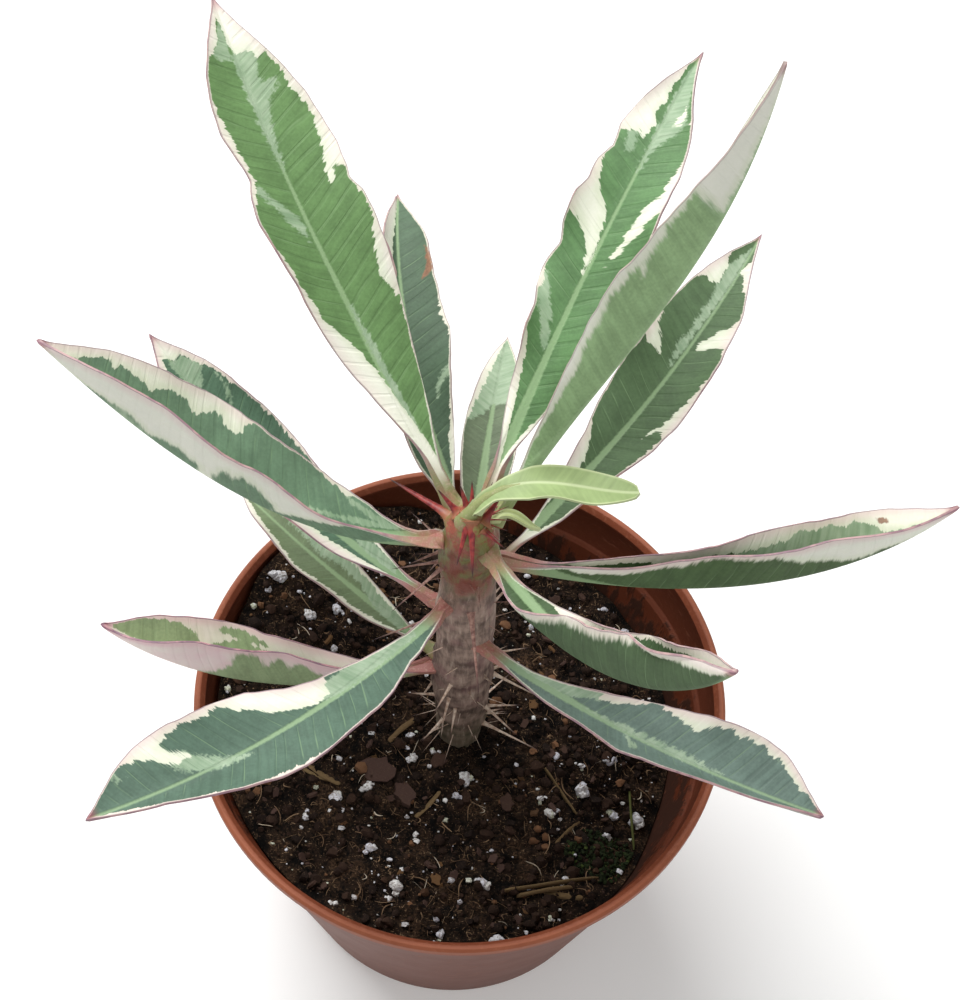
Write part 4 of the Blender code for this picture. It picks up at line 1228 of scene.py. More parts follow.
def young_finish():
    """The young leaf's and the bud's skin: smooth lime with a paler midrib and a thin pale edge."""
    made, shader, start = new_finish("leaf_young", roughness=0.42, specular=0.3)
    mottle = start.place().grain(3 * MM, 3)
    streak = noise_on(vein_place(start, 0.8 * MM, 9 * MM), 3)
    green = start.attribute("green", "Color")
    skin = (mottle * 0.5 + streak * 0.5).rise(0.3, 0.7).colour(green, green.scaled(1.3))
    midrib = start.attribute("rib").rise(0.55 * MM, 0.1 * MM)
    skin = (midrib * 0.55).colour(skin, (206, 216, 172))
    rim = start.attribute("edge").rise(0.5 * MM, 0.1 * MM)
    skin = (rim * 0.6).colour(skin, (206, 214, 168))
    feed(shader, Base_Color=skin, Normal=bump(midrib * -1.0 + streak * 0.4, 0.14 * MM, 0.6))
    return made


grown = (blade_finish("leaf_upper", True), blade_finish("leaf_under", False), edge_finish())
young = (young_finish(),) * 3
blades = [make_leaf(sizes, young if sizes["name"] in YOUNG else grown) for sizes in LEAVES]
print("leaf triangles:", sum(len(blade.data.polygons) * 2 for blade in blades))

# %% [markdown]
# ## The stem
#
# The young top of the stem is green flushed with red. Lower down a grey-brown bark has formed, with fine
# upright cracks. The body is a grid rolled into a tube, because its swellings come from a formula.

# %% The stem's rows and relief
STEM_ROWS = 220
STEM_COLUMNS = 96
DOME_ROWS = 20


def stem_rows():
    """The heights of the body's rows, from its buried end up over the dome."""
    side = np.linspace(STEM_BOTTOM, STEM_TOP - STEM_DOME, STEM_ROWS - DOME_ROWS)
    turns = np.radians(np.linspace(90, 4, DOME_ROWS + 1)[1:])
    dome = STEM_TOP - STEM_DOME * (1 - np.cos(turns))
    return np.concatenate([side, dome])


def bark_relief(height, azimuth):
    """Fine upright furrows and lumps, in metres, stronger on the older bark."""
    turn = math.radians(azimuth)
    age = min(1.0, max(0.0, (130 * MM - height) / (40 * MM)))
    place = Vector((math.cos(turn) * 9, math.sin(turn) * 9, height / MM * 0.16))
    furrow = noise.fractal(place, 0.6, 2.1, 4)
    lump = noise.noise(Vector((math.cos(turn) * 1.6, math.sin(turn) * 1.6, height / MM * 0.22)))
    return (0.12 * age * furrow + (0.10 + 0.16 * age) * lump) * MM


def bark_radius(height, azimuth):
    """The dressed stem's radius: the solid's, rougher, and drawn in at the crown between the leaf bases."""
    crown = float(np.interp(height / MM, (138, 144, 148.6), (1, 0.9, 0.8)))
    turn = math.radians(azimuth)
    knobs = noise.noise(Vector((math.cos(turn) * 2.2, math.sin(turn) * 2.2, height / MM * 0.4)))
    young = float(np.interp(height / MM, (120, 140), (0, 0.7))) * MM
    return stem_surface(height, azimuth) * crown + bark_relief(height, azimuth) + knobs * young


print("bark radius at 100 mm:", round(bark_radius(100 * MM, 0) / MM, 2))

# %% The stem's body
def tube_points(heights, columns, radius_at):
    """Rows of points round the stem's axis; the last column lies on the first."""
    points = np.zeros((len(heights), columns + 1, 3))
    for row, height in enumerate(heights):
        for column in range(columns + 1):
            azimuth = 360 * (column % columns) / columns
            radius = radius_at(height, azimuth)
            turn = math.radians(azimuth)
            points[row, column] = (radius * math.cos(turn), radius * math.sin(turn), height)
    return points


def close_tube(piece):
    """Sews the tube's seam, fills its two ends and points its faces outwards."""
    pick(piece)
    bpy.ops.object.mode_set(mode="EDIT")
    bpy.ops.mesh.select_all(action="SELECT")
    bpy.ops.mesh.remove_doubles(threshold=MERGE_DISTANCE)
    bpy.ops.mesh.select_all(action="DESELECT")
    bpy.ops.mesh.select_non_manifold()
    bpy.ops.mesh.fill_holes(sides=0)
    bpy.ops.mesh.select_all(action="SELECT")
    bpy.ops.mesh.normals_make_consistent(inside=False)
    bpy.ops.object.mode_set(mode="OBJECT")
    bpy.ops.object.shade_smooth()


stem = grid_piece("stem_bark", tube_points(stem_rows(), STEM_COLUMNS, bark_radius))
close_tube(stem)
print("stem faces:", len(stem.data.polygons))

# %% The bark's finish
bark, shader, start = new_finish("stem_bark")
spot = start.place()
height = spot.height()
stripe = spot.stretched((1, 1, 0.14)).grain(0.8 * MM, 4, 0.65)
mottle = spot.grain(3.5 * MM, 4)
speck = spot.grain(0.5 * MM, 2)
old = (mottle * 0.6 + stripe * 0.4).rise(0.35, 0.65).colour((88, 70, 62), (172, 148, 134))
old = (spot.grain(6 * MM, 2).rise(0.5, 0.72) * 0.5).colour(old, (126, 86, 88))
foot_green = (height + (mottle - 0.5) * (14 * MM)).rise(84 * MM, 66 * MM)
old = (foot_green * 0.5).colour(old, (92, 96, 66))
young = (mottle * 0.7 + stripe * 0.3).rise(0.38, 0.58).colour((110, 110, 62), (122, 62, 48))
young = (spot.grain(2.4 * MM, 3).rise(0.55, 0.7) * 0.6).colour(young, (84, 44, 36))
change = (height + (mottle - 0.5) * (16 * MM)).rise(122 * MM, 134 * MM)
skin = change.colour(old, young)
crown = (height + (mottle - 0.5) * (5 * MM)).rise(140 * MM, 146 * MM)
crown_skin = (mottle * 0.6 + speck * 0.4).rise(0.4, 0.6).colour((146, 146, 80), (168, 88, 68))
skin = (crown * 0.7).colour(skin, crown_skin)
skin = (stripe.rise(0.58, 0.75) * (1 - change) * 0.6).colour(skin, (196, 182, 166))
feed(shader, Base_Color=skin, Roughness=0.78 - change * 0.28,
     Normal=bump(stripe + speck * 0.4, 0.35 * MM, 0.8))
stem.data.materials.append(bark)
settle(stem, "stem", "stem")
print("bark nodes:", len(bark.node_tree.nodes))

# %% [markdown]
# ## The spines
#
# A spine is a stiff tapering thorn with a flat broad foot on the stem. Young ones are red, old ones are
# tan to grey, and all have a dark point. Thin bristles stand between them, and short red points crowd
# round the growing tip. Each could be a cone of its own. One is modelled upright, one unit long and one
# unit thick, and every spine is a copy of it, stretched and turned, because they then share one shape.

# %% Spine sizes
SPINE_SIDES = 10
SPINE_RINGS = 14
SPINE_GIRTH = 0.62 * MM
SPINE_SINK = 0.9 * MM
SPINE_SECTION = (1.5, 0.8)
BACK_SEED = 7
BACK_START = 20.0
BRISTLE_SEED = 23
BRISTLES = 64
BRISTLE_GIRTH = 0.2 * MM
BRISTLE_LOWEST = 66
BRISTLE_SPAN = 70
BRISTLE_SPLAY = 50
BRISTLE_RISES = (-40, 45)
BRISTLE_LENGTHS = (2.5, 7)
BROAD = {(143.5, 150): 1.35 * MM, (148, -118): 1.05 * MM, (148, -92): 1.2 * MM, (123.5, -80): 0.8 * MM}
CROWN_SPINES = (
    (147.2, -25, 62, 48, 5.5, 1.4),
    (147.6, 95, 96, 46, 3.8, 0.8),
    (147.8, 130, 120, 62, 4, 1.1),
    (146.5, 160, 150, 50, 5, 1.2),
    (146.8, 15, 20, 30, 3.4, 0.34),
    (147.0, -5, -10, 22, 3.8, 0.34),
    (146.8, -20, -24, 12, 3.4, 0.3),
    (146.6, 30, 35, 10, 3.2, 0.3),
    (147.2, 5, 0, 44, 3.0, 0.3),
    (146.2, -35, -45, 8, 3.0, 0.34),
    (146.6, 60, 66, 40, 4.2, 0.5),
)
print("spines in the tables:", len(FRONT_SPINES) + len(CROWN_SPINES))

# %% One spine, and copies
def direction(heading, rise):
    """The unit vector at a heading and a rise, in degrees."""
    heading, rise = math.radians(heading), math.radians(rise)
    return Vector((math.cos(rise) * math.cos(heading), math.cos(rise) * math.sin(heading), math.sin(rise)))


def model_spine():
    """A thorn one unit long with rings of faces: a broad flat foot, then a thin needle."""
    shares = np.linspace(0, 1, SPINE_RINGS + 1) ** 1.4
    girth = 0.36 * (1 - shares) ** 0.7 + 0.64 * np.exp(-shares * 11) + 0.02
    points = np.zeros((SPINE_RINGS + 1, SPINE_SIDES + 1, 3))
    for column in range(SPINE_SIDES + 1):
        turn = math.tau * (column % SPINE_SIDES) / SPINE_SIDES
        points[:, column, 0] = girth * math.cos(turn)
        points[:, column, 1] = girth * math.sin(turn)
        points[:, column, 2] = shares
    piece = grid_piece("spine_model", points)
    close_tube(piece)
    return piece


def all_copies(name, model, placings, values):
    """One piece made of copies of a model, each under its own matrix, with stored numbers for each copy."""
    source = np.empty(len(model.data.vertices) * 3)
    model.data.vertices.foreach_get("co", source)
    source = np.column_stack([source.reshape(-1, 3), np.ones(len(source) // 3)])
    count = len(source)
    faces = [tuple(face.vertices) for face in model.data.polygons]
    points = np.concatenate([source @ np.array(placing).T[:, :3] for placing in placings])
    offsets = [step * count for step in range(len(placings))]
    all_faces = [tuple(index + offset for index in face) for offset in offsets for face in faces]
    mesh = bpy.data.meshes.new(name)
    mesh.from_pydata(points.tolist(), [], all_faces)
    piece = bpy.data.objects.new(name, mesh)
    bpy.context.scene.collection.objects.link(piece)
    for key, numbers in values.items():
        store(piece, key, np.repeat(np.asarray(numbers, dtype=float), count))
    return piece


spine_model = model_spine()
print("faces of one spine:", len(spine_model.data.polygons))

# %% Where a spine may stand
CLOUD_ROWS = 61
CLOUD_COLUMNS = 13
cloud_shares = np.linspace(0, 1, CLOUD_ROWS)
cloud_across = np.tile(np.linspace(-1, 1, CLOUD_COLUMNS), (CLOUD_ROWS, 1))
clouds = [blade_points(sizes, cloud_shares, cloud_across).reshape(-1, 3) for sizes in LEAVES]
LEAF_CLOUD = np.concatenate(clouds)


def spine_root(height, azimuth):
    """The point of the stem's surface that a spine stands on."""
    return direction(azimuth, 0) * stem_surface(height, azimuth) + Vector((0, 0, height))


def clear_of_leaves(root, heading, rise, length):
    """Whether a straight spine keeps its clearance from every blade."""
    path = np.array(root) + np.linspace(0, length, 12)[:, None] * np.array(direction(heading, rise))
    return np.linalg.norm(path[:, None] - LEAF_CLOUD[None], axis=2).min() > SPINE_CLEARANCE


def spine_placing(height, azimuth, heading, rise, length, girth):
    """The matrix that stands the model on the stem, as long and as thick as this spine."""
    root = spine_root(height, azimuth)
    inner = root - direction(azimuth, 0) * SPINE_SINK
    tip = root + direction(heading, rise) * length
    axis = tip - inner
    turn = axis.to_track_quat("Z", "Y").to_matrix().to_4x4()
    wide, thick = SPINE_SECTION
    return Matrix.Translation(inner) @ turn @ Matrix.Diagonal((girth * wide, girth * thick, axis.length, 1))


print("blade points that a spine keeps clear of:", len(LEAF_CLOUD))

# %% All the spines
def back_spines():
    """The spines of the stem's far side, in pairs, each left out where a leaf would be in its way."""
    draw = np.random.default_rng(BACK_SEED)
    spines = []
    height, azimuth = BACK_NODE_LOWEST, BACK_START
    while height < BACK_NODE_HIGHEST:
        for side in (-1, 1):
            beside = (azimuth + side * BACK_SPLAY) % 360
            heading = beside + side * draw.uniform(0, BACK_SPLAY)
            rise = draw.uniform(*BACK_RISES)
            length = draw.uniform(*BACK_LENGTHS)
            clear = clear_of_leaves(spine_root(height, beside), heading, rise, length)
            if BACK_REACH[0] < beside < BACK_REACH[1] and clear:
                spines.append((height, beside, heading, rise, length, SPINE_GIRTH))
        height += BACK_NODE_SPACING
        azimuth = (azimuth + GOLDEN_TURN) % 360
    return spines


def bristles(count):
    """Thin short spines all round the stem, thicker on its lower half."""
    draw = np.random.default_rng(BRISTLE_SEED)
    spines = []
    while len(spines) < count:
        height = (BRISTLE_LOWEST + BRISTLE_SPAN * draw.random() ** 1.5) * MM
        azimuth = draw.uniform(0, 360)
        heading = azimuth + draw.uniform(-BRISTLE_SPLAY, BRISTLE_SPLAY)
        rise = draw.uniform(*BRISTLE_RISES)
        length = draw.uniform(*BRISTLE_LENGTHS) * MM
        if clear_of_leaves(spine_root(height, azimuth), heading, rise, length):
            spines.append((height, azimuth, heading, rise, length, BRISTLE_GIRTH * draw.uniform(0.7, 1.3)))
    return spines


def ramp(spines, low, high):
    """0 for each spine below a height in millimetres, 1 above another, and a share between them."""
    return [min(1.0, max(0.0, (spine[0] / MM - low) / (high - low))) for spine in spines]


spines = []
for height, azimuth, heading, rise, length in FRONT_SPINES:
    girth = BROAD.get((height, azimuth), SPINE_GIRTH)
    spines.append((height * MM, azimuth, heading, rise, length * MM, girth))
for height, azimuth, heading, rise, length, girth in CROWN_SPINES:
    spines.append((height * MM, azimuth, heading, rise, length * MM, girth * MM))
spines += back_spines() + bristles(BRISTLES)
placings = [spine_placing(*spine) for spine in spines]
tones = {"youth": ramp(spines, 138, 142), "brown": ramp(spines, 100, 120)}
thorns = all_copies("spines", spine_model, placings, tones)
store(thorns, "share", np.tile([vertex.co.z for vertex in spine_model.data.vertices], len(spines)))
drop(spine_model)
print("spines:", len(spines))

# %% The spines' finish
spine_finish, shader, start = new_finish("spine_horn", roughness=0.42)
spot = start.place()
streaks = spot.grain(0.8 * MM, 3)
up = start.attribute("share")
old = streaks.rise(0.3, 0.7).colour((170, 138, 118), (222, 202, 184))
brown = streaks.rise(0.3, 0.7).colour((112, 72, 64), (176, 136, 122))
old = start.attribute("brown").colour(old, brown)
new = streaks.rise(0.3, 0.7).colour((112, 28, 36), (166, 64, 58))
new = up.rise(0.25, 0.0).colour(new, (158, 104, 72))
horn = start.attribute("youth").colour(old, new)
horn = (up + (streaks - 0.5) * 0.3).rise(0.6, 0.95).colour(horn, (62, 34, 32))
feed(shader, Base_Color=horn, Normal=bump(streaks, 0.1 * MM, 0.4))
thorns.data.materials.append(spine_finish)
settle(thorns, "stem", "stem")
print("spine triangles:", len(thorns.data.polygons) * 2)

# %% [markdown]
# ## Leaf bases
#
# Where a stalk meets the stem it swells into a small cushion. One cushion is modelled and a copy is set
# under every grown leaf. The young leaf has a thick pale stalk instead, swept along its midrib, because its
# blade alone would leave the crown as a flat strip.

# %% Cushions under the stalks
CUSHION_SIDES = 20
CUSHION_SHARES = np.linspace(0, 1, 15)
CUSHION_GIRTHS = np.interp(CUSHION_SHARES, (0, 0.25, 0.45, 0.7, 0.9, 1), (1.15, 1, 0.78, 0.6, 0.5, 0.3))
CUSHION_WIDTH = 1.7 * MM
CUSHION_DEPTH = 1.4 * MM
CUSHION_LENGTH = 5.6 * MM
CUSHION_DROP = 0.8 * MM
CUSHION_BACK = 2.2 * MM
GROWN = LEAVES[:-2]


def rolled(name, radii, centres, rights, uppers, sides):
    """A closed tube: at each centre a ring with a (wide, high) radius along two directions."""
    points = np.zeros((len(centres), sides + 1, 3))
    for row, (wide, high) in enumerate(radii):
        for column in range(sides + 1):
            turn = math.tau * (column % sides) / sides
            points[row, column] = (centres[row] + math.cos(turn) * wide * np.array(rights[row])
                                   + math.sin(turn) * high * np.array(uppers[row]))
    piece = grid_piece(name, points)
    close_tube(piece)
    return piece


def upright(name, girths, centres, sides):
    """A closed tube with round level rings."""
    count = len(girths)
    return rolled(name, [(girth, girth) for girth in girths], centres,
                  [(1, 0, 0)] * count, [(0, 1, 0)] * count, sides)


cushion_centres = [np.array((0, 0, share)) for share in CUSHION_SHARES]
cushion_model = upright("cushion_model", CUSHION_GIRTHS, cushion_centres, CUSHION_SIDES)
cushion_places = []
for sizes in GROWN:
    midrib, right, upper = leaf_frames(sizes, np.array([0, 0.02]))
    way = (midrib[1] - midrib[0]) / np.linalg.norm(midrib[1] - midrib[0])
    begin = midrib[0] - upper[0] * CUSHION_DROP - way * CUSHION_BACK
    axes = Matrix([right[0] * CUSHION_WIDTH, upper[0] * CUSHION_DEPTH, way * CUSHION_LENGTH])
    cushion_places.append(Matrix.Translation(begin) @ axes.transposed().to_4x4())
blushes = [MARKS[sizes["name"]]["blush"] for sizes in GROWN]
cushions = all_copies("leaf_cushions", cushion_model, cushion_places, {"blush": blushes})
drop(cushion_model)
print("cushions:", len(cushion_places))

# %% The young leaf's stalk
STALK_SIDES = 20
STALK_SHARES = np.array([0, 0.06, 0.14, 0.24, 0.34, 0.42])
STALK_FEET = ((-1.2, -0.8, 142.5), (-1.5, -0.9, 146.2))
STALK_GIRTHS = (2.5, 1.9, 1.3, 1.15, 1.0, 0.85, 0.6, 0.25)
midrib, right, upper = leaf_frames(LEAVES[-2], STALK_SHARES)
centres = [np.array(foot) * MM for foot in STALK_FEET] + list(midrib - upper * 0.5 * MM)
stalk_radii = [(girth * MM, girth * 0.85 * MM) for girth in STALK_GIRTHS]
rights = [right[0]] * len(STALK_FEET) + list(right)
uppers = [upper[0]] * len(STALK_FEET) + list(upper)
stalk = rolled("young_stalk", stalk_radii, centres, rights, uppers, STALK_SIDES)
stalk_heights = [vertex.co.z / MM for vertex in stalk.data.vertices]
store(stalk, "blush", np.interp(stalk_heights, (145, 148.5), (0.75, 0.1)))
base_finish, shader, start = new_finish("leaf_base", specular=0.3)
spot = start.place()
ribbed = spot.grain(0.7 * MM, 3)
feed(shader, Base_Color=stalk_colour(spot, start.attribute("blush")), Normal=bump(ribbed, 0.2 * MM, 0.6))
for piece in (cushions, stalk):
    piece.data.materials.append(base_finish)
    settle(piece, "stem", "stem")
print("stalk rings:", len(centres))

# %% [markdown]
# ## The soil
#
# The compost is dark peat, loose and crumbly, with white perlite and scraps of bark in it. Its surface
# slopes, as in the solids. A displaced disc would do for the top alone. The body is a grid rolled round the
# axis, which runs up the stem's hole, out over the surface and down the side, so it has no open edge.

# %% The soil's body
SOIL_LEVEL = 62.5 * MM
SOIL_SLOPE_X = -0.20
SOIL_SLOPE_Y = 0.06
SOIL_MOUNDS = (
    (-28, 48, 5, 24),
    (-46, 30, 4, 12),
    (43, -15, -7.5, 14),
)
SOIL_BUMP = 1.1 * MM
SOIL_BUMP_SPACING = 7 * MM
SOIL_COLUMNS = 300
SOIL_ROWS = 120
HOLE_RADIUS = 5.9 * MM
COLLAR_RADIUS = 4.3 * MM
EDGE_TRIES = 6


def soil_height(x, y):
    """The soil's surface: a slope with two mounds, a washed-out hollow and small bumps."""
    height = SOIL_LEVEL + SOIL_SLOPE_X * x + SOIL_SLOPE_Y * y
    for mound_x, mound_y, mound_height, reach in SOIL_MOUNDS:
        away = ((x / MM - mound_x) ** 2 + (y / MM - mound_y) ** 2) / reach**2
        height += mound_height * MM * math.exp(-away)
    return height + SOIL_BUMP * noise.noise(Vector((x, y, 0)) / SOIL_BUMP_SPACING)


def inner_radius(height):
    """What fits inside the pot's wall at a height, clear of it all round."""
    return wall_radius(height) - WALL - GAP


def ring(turns, radius, height):
    """A level ring of points round the axis."""
    return [(radius * math.cos(turn), radius * math.sin(turn), height) for turn in turns]


def soil_edge(turn):
    """The radius at which the sloping soil meets the pot's wall, in one direction."""
    radius = inner_radius(SOIL_LEVEL)
    for _ in range(EDGE_TRIES):
        radius = inner_radius(soil_height(radius * math.cos(turn), radius * math.sin(turn)))
    return radius


def crumble(x, y):
    """The crumbly relief on top of the surface's main shape."""
    spot = Vector((x / MM, y / MM, 3.0))
    lumps = noise.fractal(spot / 2.6, 0.7, 2.0, 4)
    pits = abs(noise.noise(spot / 1.4))
    return (0.95 * lumps - 1.0 * pits + 0.2) * MM


def soil_points():
    """Rows from the hole's floor, up the hole, over the surface and down the side to the underside."""
    low = POT_FLOOR + GAP
    corner = low + BASE_CORNER
    turns = [math.tau * (column % SOIL_COLUMNS) / SOIL_COLUMNS for column in range(SOIL_COLUMNS + 1)]
    edges = [soil_edge(turn) for turn in turns]
    points = [ring(turns, HOLE_RADIUS, STEM_BOTTOM - GAP)]
    for share in np.linspace(0, 1, SOIL_ROWS):
        row = []
        for turn, edge in zip(turns, edges):
            reach = COLLAR_RADIUS + share * (edge - COLLAR_RADIUS)
            x, y = reach * math.cos(turn), reach * math.sin(turn)
            row.append((x, y, soil_height(x, y) + crumble(x, y) * (1 - share**12)))
        points.append(row)
    points.append(ring(turns, inner_radius(corner), corner))
    points.append(ring(turns, BASE_RADIUS - WALL - BASE_CORNER - GAP, low))
    return np.array(points)


soil = grid_piece("soil_body", soil_points())
close_tube(soil)
print("soil faces:", len(soil.data.polygons))

# %% [markdown]
# On the soil lie crumbs of peat, a patch of moss, fibres, straws, bark chips and perlite. What stands out
# has a place in a table, and the rest is scattered by a seeded draw. A particle system could scatter it too,
# but a draw in the open is easier to follow. Each kind is modelled once and copied.

# %% What lies where
GRAINS = (
    (-40.5, 25, 3.6), (-34, 19, 2.8), (-28, 21, 2.6), (-10, -36, 3.3),
    (-16, -29, 2.4), (-24, -20, 2.8), (2, -11, 2.9), (-9, -9, 2.3),
    (7, -33, 3.0), (11, -44, 3.0), (33, -1, 3.0), (39.5, -12, 3.4),
    (27, -9, 2.7), (33, -17, 2.0), (26.7, -9.3, 3.0), (34.3, -12.3, 2.4),
    (20.2, -15.7, 2.6), (-17.5, -16.5, 2.6), (-42.7, 22, 1.8), (-29.3, -24.8, 1.8),
    (-10.1, -3.7, 1.8), (-0.4, -44.4, 1.8), (26.9, -4.3, 1.6), (38.6, 31, 2.0),
    (-47.7, 19.2, 1.6), (-48.3, -0.3, 1.5), (-27.3, 10.1, 1.8), (22, -38, 1.4),
    (-5, -6.5, 1.6),
)
STRAWS = (
    (-14.3, -6.0, -9.3, -0.2, 0.5, 0.25),
    (-7.4, -21.3, -2.8, -15.3, 0.45, 0.4),
    (18.8, -6.2, 26.2, -14.5, 0.5, 0.6),
    (37.7, -6.8, 40.9, -19.4, 0.5, 0.8),
    (11.9, -34.0, 31.3, -27.7, 0.65, 0.55),
    (14.5, -34.6, 26.0, -31.0, 0.4, 0.4),
    (20.2, -32.4, 28.1, -32.7, 0.55, 0.45),
    (-30.1, -13.5, -23.3, -17.2, 0.55, 0.4),
    (-31.0, -14.6, -24.6, -16.6, 0.35, 0.6),
    (22, -22, 27, -16, 0.4, 0.3),
    (-34, -10, -29, -12, 0.5, 0.7),
)
SLABS = (
    (-16.0, -12.4, 6.2, 0.2),
    (-10.1, -16.9, 4.8, 0.25),
    (-3.8, -8.4, 3.2, 0.8),
    (11.2, -15.4, 3.2, 0.6),
    (-27.8, -10.2, 3.0, 0.5),
    (34, 7, 3.0, 0.4),
)
WALL_MARGIN = 1.8 * MM
STEM_MARGIN = 7 * MM
MOSS_MIDDLE = (32.5, -22.5)
MOSS_REACH = (8.5, 6.0)
CRUMBS = 1300
MOSS_BITS = 520
FIBRES = 900
CHIPS = 240
SPECKS = 440
print("grains, straws and slabs in the tables:", len(GRAINS), len(STRAWS), len(SLABS))

# %% Lumps
def dent(lump, depth, seed):
    """Pushes a lump's points in and out by noise."""
    for vertex in lump.data.vertices:
        vertex.co *= 1 + depth * noise.noise(vertex.co * 3.1 + Vector((seed, 0, 0)))


def rough_ball(name, subdivisions, depth, seed):
    """A dented icosphere about one unit across, for the few lumps that are seen well."""
    ball = add_shape(name, bpy.ops.mesh.primitive_ico_sphere_add, subdivisions=subdivisions, radius=0.5)
    dent(ball, depth, seed)
    return ball


def cut_cube(name, size, cuts):
    """A cube whose faces are cut into smaller ones."""
    cube = add_shape(name, bpy.ops.mesh.primitive_cube_add, size=size)
    bpy.ops.object.mode_set(mode="EDIT")
    bpy.ops.mesh.select_all(action="SELECT")
    bpy.ops.mesh.subdivide(number_cuts=cuts)
    bpy.ops.object.mode_set(mode="OBJECT")
    return cube


def rough_block(name, depth, seed):
    """A dented block of 24 faces about one unit across, for what is copied by the hundred."""
    block = cut_cube(name, 0.85, 1)
    for vertex in block.data.vertices:
        vertex.co = vertex.co.lerp(vertex.co.normalized() * 0.5, 0.65)
    dent(block, depth, seed)
    return block


def tumbled(draw, x, y, z, size, flat=1.0):
    """The matrix of a lump that lies any way round, at a place and with a size."""
    spin = Matrix.Rotation(draw.uniform(0, math.tau), 4, "X")
    spin = spin @ Matrix.Rotation(draw.uniform(0, math.tau), 4, "Z")
    wide, deep = size * draw.uniform(0.8, 1.2), size * draw.uniform(0.8, 1.2)
    return Matrix.Translation((x, y, z)) @ spin @ Matrix.Diagonal((wide, deep, size * flat, 1))


def tipped(draw, place, most):
    """The matrix at a place that leans by up to an angle, in radians, and faces any way."""
    lean = Matrix.Rotation(draw.uniform(-most, most), 4, "X")
    lean = lean @ Matrix.Rotation(draw.uniform(-most, most), 4, "Y")
    return Matrix.Translation(place) @ lean @ Matrix.Rotation(draw.uniform(0, math.tau), 4, "Z")


crumb_model = rough_block("crumb_model", 0.9, 1.0)
print("faces of a crumb:", len(crumb_model.data.polygons))

# %% Places on the soil
def soil_spot(draw, margin):
    """A random place on the soil, at least margin from the wall and clear of the stem."""
    while True:
        turn = draw.uniform(0, math.tau)
        reach = math.sqrt(draw.uniform(0, 1)) * (soil_edge(turn) - margin)
        if reach > STEM_MARGIN:
            return reach * math.cos(turn), reach * math.sin(turn)


def on_soil(x, y, lift=0.0):
    """The point of the crumbly surface above x and y, a little raised, and moved in from the wall."""
    inward = min(1.0, (soil_edge(math.atan2(y, x)) - WALL_MARGIN) / math.hypot(x, y))
    x, y = x * inward, y * inward
    return Vector((x, y, soil_height(x, y) + crumble(x, y) + lift))


def lying(draw, x, y, length, girth, heading=None):
    """The matrix that lays an upright model of one unit along the soil."""
    heading = draw.uniform(0, math.tau) if heading is None else heading
    along_soil = Vector((math.cos(heading), math.sin(heading), 0))
    begin = on_soil(x - along_soil.x * length / 2, y - along_soil.y * length / 2, girth)
    end = on_soil(x + along_soil.x * length / 2, y + along_soil.y * length / 2, girth)
    turn = (end - begin).to_track_quat("Z", "Y").to_matrix().to_4x4()
    roll = Matrix.Rotation(draw.uniform(0, math.tau), 4, "Z")
    flat = Matrix.Diagonal((girth * 1.3, girth * 0.6, (end - begin).length, 1))
    return Matrix.Translation(begin) @ turn @ roll @ flat


print("soil height under the rim's left and right in mm:",
      [round(on_soil(x * MM, 0).z / MM, 1) for x in (-45, 45)])

# %% [markdown]
# A crumb is a dented block of 24 faces, because it is copied by the hundred and seen small. Moss bits are
# the same block, smaller and heaped. A fibre is a bent straw with three sides.

# %% Crumbs and moss
SOIL_SEED = 11
draw = np.random.default_rng(SOIL_SEED)
crumb_places = []
crumb_tones = []
for _ in range(CRUMBS):
    size = (0.6 + 2.0 * draw.random() ** 3) * MM
    x, y = soil_spot(draw, size)
    crumb_places.append(tumbled(draw, *on_soil(x, y, size * 0.15), size, 0.8))
    crumb_tones.append(draw.random())
crumbs = all_copies("peat_crumbs", crumb_model, crumb_places, {"tone": crumb_tones})
moss_places = []
for _ in range(MOSS_BITS):
    turn, far = draw.uniform(0, math.tau), math.sqrt(draw.random())
    x = (MOSS_MIDDLE[0] + MOSS_REACH[0] * far * math.cos(turn)) * MM
    y = (MOSS_MIDDLE[1] + MOSS_REACH[1] * far * math.sin(turn)) * MM
    size = (0.35 + 0.5 * draw.random()) * MM
    moss_places.append(tumbled(draw, *on_soil(x, y, size * 0.6 * (1 - far**2)), size))
moss = all_copies("moss", crumb_model, moss_places, {"tone": draw.random(MOSS_BITS)})
drop(crumb_model)
print("faces of crumbs and moss:", len(crumbs.data.polygons), len(moss.data.polygons))

# %% Fibres and straws
def model_straw(name, rings, sides, bend):
    """An upright tube one unit long and one unit in radius, with a slight bend and ragged ends."""
    shares = np.linspace(0, 1, rings)
    girths = np.interp(shares, (0, 0.03, 0.3, 0.6, 0.97, 1), (0.7, 1, 0.85, 1.05, 0.8, 0.5))
    centres = [np.array((bend * math.sin(math.pi * share), bend * 0.4 * math.sin(5 * share), share))
               for share in shares]
    return upright(name, girths, centres, sides)


